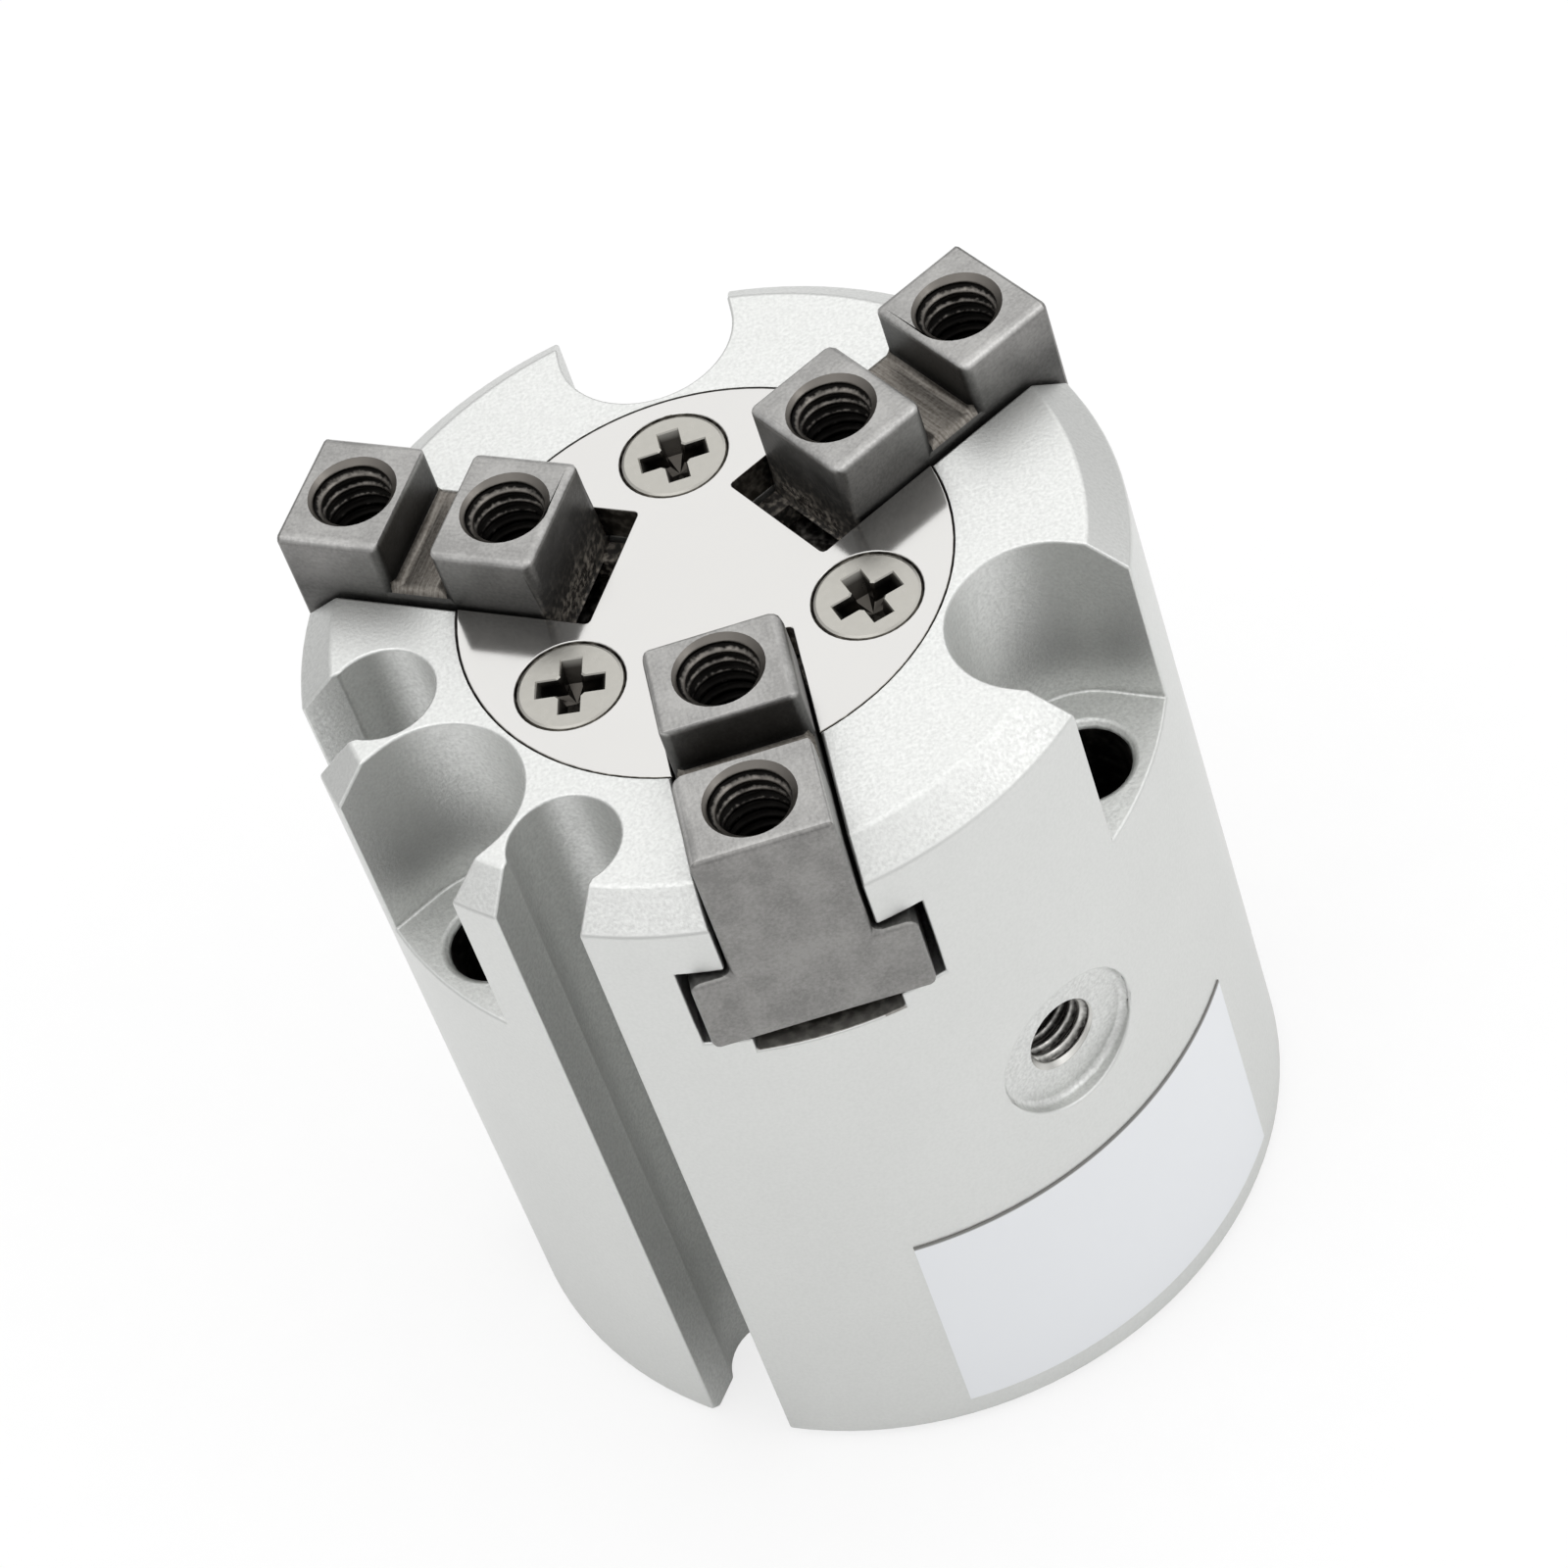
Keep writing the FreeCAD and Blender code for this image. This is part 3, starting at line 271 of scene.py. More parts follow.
for face in shape.faces:
    face.material_index = finish_of(face)
housing_finishes = [
    bead_blasted_aluminium(),
    # Grease and painted shade in the slots, and painted shade on the drilled holes' walls.
    greased_metal("greased_and_shaded_aluminium", "#C4C0B8", "#6B675F"),
    greased_metal("drilled_aluminium_painted_shade", "#7C7976", "#55524F"),
]
housing = new_piece("housing_body", shape, housing_finishes, HOUSING_EDGE, share=housing_share)
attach(housing, "body")
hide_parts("housing")


# Threads. M3 holes are drilled, bevelled at the mouth and tapped: crests at the drilled
# radius and roots a quarter of a millimetre further out, every half millimetre. One tree
# makes each of them, at a point and with a turn, and marks where it darkens with grime and painted shade.
PITCH, THREAD_DEPTH = 0.5 * MM, 0.25 * MM
# The flank between a crest and a root starts and ends at these shares of a turn from the crest.
CREST_EDGE, ROOT_EDGE = 0.125, 0.4375
AROUND, ROWS_PER_TURN = 48, 10
UNDERLAP, SEAM_WELD = 0.01 * MM, 0.001 * MM
# How dark the roots and the depth of the hole turn: grime and painted shade.
ROOT_GRIME_AND_SHADE, DEEP_GRIME_AND_SHADE = 0.55, 1.1
SWARF_GRAIN = 0.2 * MM
PORT_POINT, PORT_THREAD_START = 0.5 * MM, math.radians(165)


def threaded_hole_tree():
    """A threaded hole at each point: a sheet rolled up, pushed out at the roots and closed to a point below."""
    tree = bpy.data.node_groups.new("threaded_hole", "GeometryNodeTree")
    sockets = tree.interface
    sockets.new_socket("Geometry", in_out="OUTPUT", socket_type="NodeSocketGeometry")
    sockets.new_socket("Geometry", in_out="INPUT", socket_type="NodeSocketGeometry")
    for name in ("Drill Radius", "Mouth Radius", "Thread Depth", "Pitch", "Whole Depth", "Point Height"):
        sockets.new_socket(name, in_out="INPUT", socket_type="NodeSocketFloat")
    sockets.new_socket("Rows", in_out="INPUT", socket_type="NodeSocketInt")
    sockets.new_socket("Finish", in_out="INPUT", socket_type="NodeSocketMaterial")
    size = add_node(tree, "NodeGroupInput").outputs

    # The sheet's X is the way round the hole, and its Y the way down.
    sheet = add_node(tree, "GeometryNodeMeshGrid", {
        "Size X": 1.0, "Size Y": 1.0, "Vertices X": AROUND + 1, "Vertices Y": size["Rows"]})
    spot = add_node(tree, "ShaderNodeSeparateXYZ", {0: add_node(tree, "GeometryNodeInputPosition")})
    turn = add_node(tree, "ShaderNodeMath", {0: spot.outputs["X"], 1: 0.5}, operation="ADD")
    angle = add_node(tree, "ShaderNodeMath", {0: turn, 1: 2 * math.pi}, operation="MULTIPLY")
    share = add_node(tree, "ShaderNodeMath", {0: 0.5, 1: spot.outputs["Y"]}, operation="SUBTRACT")
    down = add_node(tree, "ShaderNodeMath", {0: share, 1: size["Whole Depth"]}, operation="MULTIPLY")

    # A helix goes round and down together; how far a spot is from its crest says how deep it is cut.
    turns_down = add_node(tree, "ShaderNodeMath", {0: down, 1: size["Pitch"]}, operation="DIVIDE")
    helix = add_node(tree, "ShaderNodeMath", {0: turns_down, 1: turn}, operation="ADD")
    phase = add_node(tree, "ShaderNodeMath", {0: helix}, operation="FRACT")
    centred = add_node(tree, "ShaderNodeMath", {0: phase, 1: 0.5}, operation="SUBTRACT")
    off_crest = add_node(tree, "ShaderNodeMath", {0: centred}, operation="ABSOLUTE")
    cut = add_node(tree, "ShaderNodeMapRange", {
        "Value": off_crest, "From Min": CREST_EDGE, "From Max": ROOT_EDGE, "To Min": 0.0,
        "To Max": size["Thread Depth"]})
    thread = add_node(tree, "ShaderNodeMath", {0: size["Drill Radius"], 1: cut}, operation="ADD")
    bevel = add_node(tree, "ShaderNodeMath", {0: size["Mouth Radius"], 1: down}, operation="SUBTRACT")
    wall = add_node(tree, "ShaderNodeMath", {0: thread, 1: bevel}, operation="MAXIMUM")
    below_mouth = add_node(tree, "ShaderNodeMath", {0: thread, 1: bevel}, operation="GREATER_THAN")
    cut_share = add_node(tree, "ShaderNodeMath", {0: cut, 1: size["Thread Depth"]}, operation="DIVIDE")
    root = add_node(tree, "ShaderNodeMath", {0: cut_share, 1: below_mouth}, operation="MULTIPLY")
    # Grime and painted shade: darker in the roots and further down the hole.
    deep = add_node(tree, "ShaderNodeMath", {0: share, 1: DEEP_GRIME_AND_SHADE}, operation="MULTIPLY")
    grime = add_node(tree, "ShaderNodeMath", {0: root, 1: ROOT_GRIME_AND_SHADE, 2: deep}, operation="MULTIPLY_ADD")
    left = add_node(tree, "ShaderNodeMath", {0: size["Whole Depth"], 1: down}, operation="SUBTRACT")
    slope = add_node(tree, "ShaderNodeMath", {0: size["Drill Radius"], 1: size["Point Height"]}, operation="DIVIDE")
    drill_point = add_node(tree, "ShaderNodeMath", {0: left, 1: slope}, operation="MULTIPLY")
    radius = add_node(tree, "ShaderNodeMath", {0: wall, 1: drill_point}, operation="MINIMUM")

    # Rolled up at that radius, marked with its grime and painted shade, and turned so that its faces look inwards.
    cosine = add_node(tree, "ShaderNodeMath", {0: angle}, operation="COSINE")
    sine = add_node(tree, "ShaderNodeMath", {0: angle}, operation="SINE")
    place = add_node(tree, "ShaderNodeCombineXYZ", {
        "X": add_node(tree, "ShaderNodeMath", {0: radius, 1: cosine}, operation="MULTIPLY"),
        "Y": add_node(tree, "ShaderNodeMath", {0: radius, 1: sine}, operation="MULTIPLY"),
        "Z": add_node(tree, "ShaderNodeMath", {0: down, 1: -1.0}, operation="MULTIPLY")})
    marked = add_node(tree, "GeometryNodeStoreNamedAttribute", {
        "Geometry": sheet, "Name": "grime", "Value": grime}, data_type="FLOAT")
    rolled = add_node(tree, "GeometryNodeSetPosition", {"Geometry": marked, "Position": place})
    closed = add_node(tree, "GeometryNodeMergeByDistance", {"Geometry": rolled, "Distance": SEAM_WELD})
    inward = add_node(tree, "GeometryNodeFlipFaces", {"Mesh": closed})
    turned = add_node(tree, "GeometryNodeInputNamedAttribute", {"Name": "turn"}, data_type="FLOAT_VECTOR")
    holes = add_node(tree, "GeometryNodeInstanceOnPoints", {
        "Points": size["Geometry"], "Instance": inward,
        "Rotation": add_node(tree, "FunctionNodeEulerToRotation", {0: turned})})
    real = add_node(tree, "GeometryNodeRealizeInstances", {"Geometry": holes})
    smooth = add_node(tree, "GeometryNodeSetShadeSmooth", {"Geometry": real})
    coated = add_node(tree, "GeometryNodeSetMaterial", {"Geometry": smooth, "Material": size["Finish"]})
    add_node(tree, "NodeGroupOutput", {0: coated})
    return tree


def tapped_metal(name, crest, root, filled):
    """A tap leaves its crests bright, while swarf dust, oil and painted shade keep the roots and the depth of the
    hole dark.
    """
    finish, tree, place = new_finish(name)
    speckle = add_node(tree, "ShaderNodeTexNoise", {"Vector": place, "Scale": 1 / SWARF_GRAIN, "Detail": 3.0})
    mark = add_node(tree, "ShaderNodeAttribute", attribute_name="grime").outputs["Fac"]
    uneven = add_node(tree, "ShaderNodeMath", {0: speckle, 1: 0.5, 2: mark}, operation="MULTIPLY_ADD")
    colour = add_node(tree, "ShaderNodeValToRGB", {0: uneven})
    colour.color_ramp.elements[0].position = 0.45
    colour.color_ramp.elements[0].color = linear(crest)
    colour.color_ramp.elements[1].position = filled
    colour.color_ramp.elements[1].color = linear(root)
    rough = add_node(tree, "ShaderNodeMapRange", {"Value": speckle, "To Min": 0.25, "To Max": 0.5})
    bump = add_node(tree, "ShaderNodeBump", {"Height": speckle, "Strength": 0.2, "Distance": 0.02 * MM})
    shader = add_node(tree, "ShaderNodeBsdfPrincipled", {
        "Base Color": colour, "Metallic": 1.0, "Roughness": rough, "Normal": bump})
    add_node(tree, "ShaderNodeOutputMaterial", {"Surface": shader})
    return finish


def grown(name, tree, sizes, spots):
    """Let a tree work on points that each have a place and a turn, and keep what it makes as a plain mesh."""
    seed = bpy.data.meshes.new(name)
    seed.from_pydata([place for place, turn in spots], [], [])
    turns = seed.attributes.new("turn", "FLOAT_VECTOR", "POINT")
    for mark, (place, turn) in zip(turns.data, spots):
        mark.vector = turn
    carrier = bpy.data.objects.new(name + "_seed", seed)
    bpy.context.scene.collection.objects.link(carrier)
    maker = carrier.modifiers.new("maker", "NODES")
    maker.node_group = tree
    for item in tree.interface.items_tree:
        if item.in_out == "INPUT" and item.name in sizes:
            maker[item.identifier] = sizes[item.name]
    graph = bpy.context.evaluated_depsgraph_get()
    mesh = bpy.data.meshes.new_from_object(carrier.evaluated_get(graph))
    bpy.data.objects.remove(carrier)
    piece = bpy.data.objects.new(name, mesh)
    bpy.context.scene.collection.objects.link(piece)
    return piece


def thread_sizes(bevel, depth, point, finish):
    """The sizes of one M3 hole, as the tree's inputs."""
    return {
        "Drill Radius": TAP_DRILL_RADIUS, "Mouth Radius": TAP_DRILL_RADIUS + bevel + 2 * UNDERLAP,
        "Thread Depth": THREAD_DEPTH, "Pitch": PITCH, "Whole Depth": depth, "Point Height": point,
        "Rows": int(depth / PITCH * ROWS_PER_TURN), "Finish": finish,
    }


threaded_hole = threaded_hole_tree()
tapped_aluminium = tapped_metal("tapped_aluminium", "#D5D4D0", "#3A3836", 0.85)
for name, (mouth, outwards, depth) in port_mouths.items():
    sizes = thread_sizes(HOLE_BEVEL, depth, PORT_POINT, tapped_aluminium)
    facing = outwards.to_track_quat("Z", "Y").to_matrix()
    turn = (facing @ Matrix.Rotation(PORT_THREAD_START, 3, "Z")).to_euler()
    thread = grown(name, threaded_hole, sizes, [(mouth - outwards * UNDERLAP, turn)])
    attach(thread, "body")


# Rating label. A thin white film stuck round the side under the upper port, its upper edge
# lined with a thin grey line of painted shadow. It is left bare.
LABEL_START, LABEL_END = math.radians(-90.2), math.radians(-28.7)
LABEL_LOW, LABEL_HIGH = 1.4 * MM, 11.3 * MM
LABEL_THICKNESS, LABEL_RIM = 0.05 * MM, 0.09 * MM
LABEL_STEPS = 48
FILM_WHITE, RIM_SHADOW_GREY, FILM_MOTTLE = "#E3E5E8", "#6E6D6A", 0.6 * MM


def polyester_film():
    """Polyester film is satin and a cool white; its upper cut edge carries a thin grey line of painted shadow."""
    finish, tree, place = new_finish("white_polyester_film")
    mottle = add_node(tree, "ShaderNodeTexNoise", {"Vector": place, "Scale": 1 / FILM_MOTTLE, "Detail": 3.0})
    height = add_node(tree, "ShaderNodeSeparateXYZ", {0: place}).outputs["Z"]
    # Painted shadow: the film turns grey along its upper edge.
    rim = add_node(tree, "ShaderNodeMapRange", {
        "Value": height, "From Min": LABEL_HIGH - 2 * LABEL_RIM, "From Max": LABEL_HIGH - LABEL_RIM})
    colour = add_node(tree, "ShaderNodeValToRGB", {0: rim})
    colour.color_ramp.elements[0].color = linear(FILM_WHITE)
    colour.color_ramp.elements[1].color = linear(RIM_SHADOW_GREY)
    rough = add_node(tree, "ShaderNodeMapRange", {"Value": mottle, "To Min": 0.34, "To Max": 0.46})
    bump = add_node(tree, "ShaderNodeBump", {"Height": mottle, "Strength": 0.05, "Distance": 0.02 * MM})
    shader = add_node(tree, "ShaderNodeBsdfPrincipled", {"Base Color": colour, "Roughness": rough, "Normal": bump})
    add_node(tree, "ShaderNodeOutputMaterial", {"Surface": shader})
    return finish


shape = bmesh.new()
rings = []
for step in range(LABEL_STEPS + 1):
    angle = LABEL_START + (LABEL_END - LABEL_START) * step / LABEL_STEPS
    outwards = Vector((math.cos(angle), math.sin(angle), 0))
    near, far = outwards * body_radius, outwards * (body_radius + LABEL_THICKNESS)
    corners = [(near, LABEL_LOW), (far, LABEL_LOW), (far, LABEL_HIGH), (near, LABEL_HIGH)]
    rings.append([shape.verts.new(spot + Vector((0, 0, height))) for spot, height in corners])
for before, after in zip(rings, rings[1:]):
    for side in range(4):
        following = (side + 1) % 4
        shape.faces.new((before[side], after[side], after[following], before[following]))
shape.faces.new(rings[0])
shape.faces.new(reversed(rings[-1]))
for face in shape.faces:
    face.smooth = True
bmesh.ops.recalc_face_normals(shape, faces=shape.faces)
label = new_piece("bare_label", shape, [polyester_film()])
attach(label, "body")


# Cylinder parts, closed in below the jaws. Piston and cap are turned from aluminium, the
# rod and the cam are ground steel, and seals, stops, guide ring and magnet are moulded.
TURNING_FEED = 0.12 * MM
MOULD_MOTTLE = 0.3 * MM


def turned_metal(name, colour, roughness, line_depth=0.1):
    """Turning leaves fine rings round the axis, one for each feed of the tool."""
    finish, tree, place = new_finish(name)
    parts = add_node(tree, "ShaderNodeSeparateXYZ", {0: place})
    flat = add_node(tree, "ShaderNodeCombineXYZ", {"X": parts.outputs["X"], "Y": parts.outputs["Y"]})
    from_axis = add_node(tree, "ShaderNodeVectorMath", {0: flat}, operation="LENGTH").outputs["Value"]
    section = add_node(tree, "ShaderNodeCombineXYZ", {"X": from_axis, "Y": parts.outputs["Z"]})
    lines = add_node(tree, "ShaderNodeTexNoise", {"Vector": section, "Scale": 1 / TURNING_FEED, "Detail": 2.0})
    rough = add_node(tree, "ShaderNodeMapRange", {
        "Value": lines, "To Min": roughness - 0.06, "To Max": roughness + 0.08})
    bump = add_node(tree, "ShaderNodeBump", {"Height": lines, "Strength": line_depth, "Distance": 0.02 * MM})
    shader = add_node(tree, "ShaderNodeBsdfPrincipled", {
        "Base Color": linear(colour), "Metallic": 1.0, "Roughness": rough, "Normal": bump})
    add_node(tree, "ShaderNodeOutputMaterial", {"Surface": shader})
    return finish


def moulded(name, colour, roughness):
    """Rubber and plastic take the mould's dull skin, with a faint mottle."""
    finish, tree, place = new_finish(name)
    mottle = add_node(tree, "ShaderNodeTexNoise", {"Vector": place, "Scale": 1 / MOULD_MOTTLE, "Detail": 3.0})
    rough = add_node(tree, "ShaderNodeMapRange", {
        "Value": mottle, "To Min": roughness - 0.08, "To Max": roughness + 0.08})
    bump = add_node(tree, "ShaderNodeBump", {"Height": mottle, "Strength": 0.1, "Distance": 0.02 * MM})
    shader = add_node(tree, "ShaderNodeBsdfPrincipled", {
        "Base Color": linear(colour), "Roughness": rough, "Normal": bump})
    add_node(tree, "ShaderNodeOutputMaterial", {"Surface": shader})
    return finish


nitrile = moulded("nitrile_rubber", "#1B1B1C", 0.6)
urethane = moulded("urethane_rubber", "#3A322A", 0.5)
turned_aluminium = turned_metal("turned_anodised_aluminium", "#D2D2D0", 0.32)
zinc = turned_metal("zinc_plated_steel", "#C9C7C0", 0.3)
greased_steel = greased_metal("greased_ground_steel", "#8B8884", "#33302D")
CARRIED_FINISHES = {
    "piston": turned_aluminium,
    "end_cap": turned_aluminium,
    "piston_rod": turned_metal("ground_polished_steel", "#D6D6D4", 0.16, line_depth=0.04),
    "piston_nut": zinc,
    "seal_retainer": zinc,
    "rod_bush": turned_metal("sintered_bronze", "#B08A58", 0.45),
    "magnet_ring": moulded("plastic_bonded_magnet", "#3B3836", 0.45),
    "wear_ring": moulded("filled_acetal", "#8C6E45", 0.4),
    "piston_seal": nitrile,
    "rod_seal": nitrile,
    "end_cap_seal": nitrile,
    "upper_bumper": urethane,
    "lower_bumper": urethane,
    "retaining_ring": turned_metal("phosphated_spring_steel", "#5A5856", 0.42),
    "wedge_cam": greased_steel,
    "cam_screw": greased_steel,
}
for node, finish in CARRIED_FINISHES.items():
    nodes[node].material_slots[0].material = finish


# Cover plate. A round of stainless steel, lapped flat, let into the top of the body and
# slotted for the jaws. It is bright enough to mirror them softly.
PLATE_EDGE = 0.05 * MM
PLATE_COLOUR = "#BDBCBA"
# Lapping's own grain is too fine to show, so it is drawn a tenth of a millimetre wide.
LAPPING_GRAIN, HAZE_SIZE = 0.12 * MM, 2.5 * MM
FACING_UP = 0.9


def lapped_stainless():
    """Lapping leaves a bright, slightly warm grey with a faint haze that comes and goes."""
    finish, tree, place = new_finish("lapped_stainless_steel")
    haze = add_node(tree, "ShaderNodeTexNoise", {"Vector": place, "Scale": 1 / HAZE_SIZE, "Detail": 4.0})
    grain = add_node(tree, "ShaderNodeTexNoise", {"Vector": place, "Scale": 1 / LAPPING_GRAIN, "Detail": 2.0})
    rough = add_node(tree, "ShaderNodeMapRange", {
        "Value": haze, "From Min": 0.3, "From Max": 0.7, "To Min": 0.09, "To Max": 0.15})
    bump = add_node(tree, "ShaderNodeBump", {"Height": grain, "Strength": 0.04, "Distance": 0.01 * MM})
    shader = add_node(tree, "ShaderNodeBsdfPrincipled", {
        "Base Color": linear(PLATE_COLOUR), "Metallic": 1.0, "Roughness": rough, "Normal": bump})
    add_node(tree, "ShaderNodeOutputMaterial", {"Surface": shader})
    return finish


shape = merged_copy("cover_plate")
for face in shape.faces:
    face.material_index = int(abs(face.normal.z) < FACING_UP)
plate_finishes = [lapped_stainless(), greased_metal("greased_milled_stainless", "#C9C5BE", "#77736D")]
plate = new_piece("cover_plate_lapped", shape, plate_finishes, PLATE_EDGE)
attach(plate, "body")
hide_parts("cover_plate")


# Cover screws. Three M2 stainless screws with countersunk heads and a cross recess, which
# narrows on its way down. Each was driven home to its own angle.
SCREW_TURNS = {"cover_screw_back": 1.0, "cover_screw_left": 78.5, "cover_screw_right": 17.5}
SCREW_SIDES = 48
HEAD_RADIUS, HEAD_HEIGHT, HEAD_RIM = 1.95 * MM, 1.1 * MM, 0.12 * MM
SHANK_RADIUS, CORE_RADIUS, PLAIN_LENGTH, SCREW_LENGTH = 1.0 * MM, 0.78 * MM, 1.5 * MM, 3.94 * MM
# The screw's thread: its pitch, and the shares of a turn down at which a root and a crest lie.
SCREW_PITCH, ROOT_AT, CREST_AT = 0.4 * MM, 0.35, 0.85
# How far in from the head's radius, and at what height, its rounded rim turns.
RIM_STEPS = ((0.13 * MM, 0.0), (0.04 * MM, -0.04 * MM), (0.0, -0.11 * MM))
# Depth, half length and half width of an arm of the recess, and the flat across its inner corners.
RECESS_STEPS = (
    (0.0, 1.27 * MM, 0.41 * MM, 0.13 * MM),
    (0.05 * MM, 1.22 * MM, 0.37 * MM, 0.11 * MM),
    (0.8 * MM, 0.78 * MM, 0.27 * MM, 0.03 * MM),
)
RECESS_BOTTOM = 1.0 * MM
# The dark of the recess and rim is dirt and painted shade.
RECESS_DIRT_AND_SHADE, HEADED_STEEL = "#45423E", "#A5A39D"
DIRT_AND_SHADE_DEEP, DIRT_AND_SHADE_SHALLOW, DENT_SIZE = 0.3 * MM, 0.02 * MM, 0.25 * MM


def screw_shape():
    """One screw, head up, with the top of its head at the origin."""
    shape = bmesh.new()
    profile = [(HEAD_RADIUS - inset, height) for inset, height in RIM_STEPS]
    profile += [(HEAD_RADIUS, -HEAD_RIM), (SHANK_RADIUS, -HEAD_HEIGHT), (SHANK_RADIUS, -PLAIN_LENGTH)]
    height = -PLAIN_LENGTH
    while height > SCREW_PITCH - SCREW_LENGTH:
        profile.append((CORE_RADIUS, height - ROOT_AT * SCREW_PITCH))
        profile.append((SHANK_RADIUS, height - CREST_AT * SCREW_PITCH))
        height -= SCREW_PITCH
    profile.append((CORE_RADIUS, -SCREW_LENGTH))
    rings = []
    for radius, height in profile:
        rings.append([
            shape.verts.new((radius * math.cos(angle), radius * math.sin(angle), height))
            for angle in (2 * math.pi * side / SCREW_SIDES for side in range(SCREW_SIDES))
        ])
    for upper, lower in zip(rings, rings[1:]):
        for side in range(SCREW_SIDES):
            following = (side + 1) % SCREW_SIDES
            shape.faces.new((upper[side], lower[side], lower[following], upper[following]))
    shape.faces.new(reversed(rings[-1]))

    # The recess: its outline at each depth, then the bottom, then the flat left round its mouth.
    outlines = []
    for depth, arm, half, flat in RECESS_STEPS:
        corners = [(arm, -half), (arm, half), (half + flat, half), (half, half + flat)]
        quarter = [Vector((x, y, -depth)) for x, y in corners]
        turns = [Matrix.Rotation(math.radians(90 * turn), 3, "Z") for turn in range(4)]
        outlines.append([shape.verts.new(turn @ corner) for turn in turns for corner in quarter])
    count = len(outlines[0])
    for upper, lower in zip(outlines, outlines[1:]):
        for side in range(count):
            following = (side + 1) % count
            shape.faces.new((upper[side], upper[following], lower[following], lower[side]))
    bottom = shape.verts.new((0, 0, -RECESS_BOTTOM))
    for side in range(count):
        shape.faces.new((outlines[-1][side], outlines[-1][(side + 1) % count], bottom))
    rims = [shape.edges.get((loop[side], loop[(side + 1) % len(loop)]))
            for loop in (rings[0], outlines[0]) for side in range(len(loop))]
    bmesh.ops.triangle_fill(shape, use_beauty=True, use_dissolve=False, edges=rims)
    bmesh.ops.recalc_face_normals(shape, faces=shape.faces)
    for face in shape.faces:
        face.smooth = True
    return shape


def screws_tree():
    """A copy of one screw at each point, with that point's turn."""
    tree = bpy.data.node_groups.new("screws", "GeometryNodeTree")
    sockets = tree.interface
    sockets.new_socket("Geometry", in_out="OUTPUT", socket_type="NodeSocketGeometry")
    sockets.new_socket("Geometry", in_out="INPUT", socket_type="NodeSocketGeometry")
    sockets.new_socket("Screw", in_out="INPUT", socket_type="NodeSocketObject")
    sockets.new_socket("Finish", in_out="INPUT", socket_type="NodeSocketMaterial")
    given = add_node(tree, "NodeGroupInput").outputs
    screw = add_node(tree, "GeometryNodeObjectInfo", {"Object": given["Screw"]}).outputs["Geometry"]
    turned = add_node(tree, "GeometryNodeInputNamedAttribute", {"Name": "turn"}, data_type="FLOAT_VECTOR")
    placed = add_node(tree, "GeometryNodeInstanceOnPoints", {
        "Points": given["Geometry"], "Instance": screw,
        "Rotation": add_node(tree, "FunctionNodeEulerToRotation", {0: turned})})
    real = add_node(tree, "GeometryNodeRealizeInstances", {"Geometry": placed})
    coated = add_node(tree, "GeometryNodeSetMaterial", {"Geometry": real, "Material": given["Finish"]})
    add_node(tree, "NodeGroupOutput", {0: coated})
    return tree


def stainless_screw_steel():
    """Cold headed stainless: a dull warm grey with small dents, darkened at the rim and in the recess by dirt and
    painted shade.
    """
    finish, tree, place = new_finish("headed_stainless_steel")
    dents = add_node(tree, "ShaderNodeTexNoise", {"Vector": place, "Scale": 1 / DENT_SIZE, "Detail": 3.0})
    height = add_node(tree, "ShaderNodeSeparateXYZ", {0: place}).outputs["Z"]
    # Dirt and painted shade: darker below the head's top face.
    dirt_and_shade = add_node(tree, "ShaderNodeMapRange", {
        "Value": height, "From Min": body_top - DIRT_AND_SHADE_DEEP, "From Max": body_top - DIRT_AND_SHADE_SHALLOW})
    colour = add_node(tree, "ShaderNodeValToRGB", {0: dirt_and_shade})
    colour.color_ramp.elements[0].color = linear(RECESS_DIRT_AND_SHADE)
    colour.color_ramp.elements[1].color = linear(HEADED_STEEL)
    rough = add_node(tree, "ShaderNodeMapRange", {"Value": dents, "To Min": 0.22, "To Max": 0.38})
    bump = add_node(tree, "ShaderNodeBump", {"Height": dents, "Strength": 0.15, "Distance": 0.02 * MM})
    shader = add_node(tree, "ShaderNodeBsdfPrincipled", {
        "Base Color": colour, "Metallic": 1.0, "Roughness": rough, "Normal": bump})
    add_node(tree, "ShaderNodeOutputMaterial", {"Surface": shader})
    return finish


one_screw = new_piece("one_screw", screw_shape(), [], sharp_from=12)
spots = []
for node, degrees in SCREW_TURNS.items():
    low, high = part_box(node)
    spots.append((((low.x + high.x) / 2, (low.y + high.y) / 2, high.z), Euler((0, 0, math.radians(degrees)))))
sizes = {"Screw": one_screw, "Finish": stainless_screw_steel()}
screws = grown("cover_screws", screws_tree(), sizes, spots)
bpy.data.objects.remove(one_screw)
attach(screws, "body")
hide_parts(*SCREW_TURNS)


# Jaws. Three steel blocks on T-flanges, milled, hardened and tumbled, so that their edges
# are rounded and their faces a dull grey. Each has two threaded holes for a finger, a milled
# notch between them, and grease where its nose goes in under the cover.
# The sides' grey is darker partly as painted shade, and the edge band is partly a painted highlight.
GROUND_TOP, DULL_AND_SHADED_SIDE, BURNISHED_EDGE_AND_HIGHLIGHT = "#A09F9D", "#868583", "#C6C5C3"
MILLED_VALLEY, MILLED_RIDGE = "#5D5852", "#8A8680"
BLACK_GREASE, GREY_GREASE = "#1F1D1B", "#6B665F"
CLOUD_SIZE, PIT_SIZE, SPECK_SIZE = 1.4 * MM, 0.13 * MM, 0.22 * MM
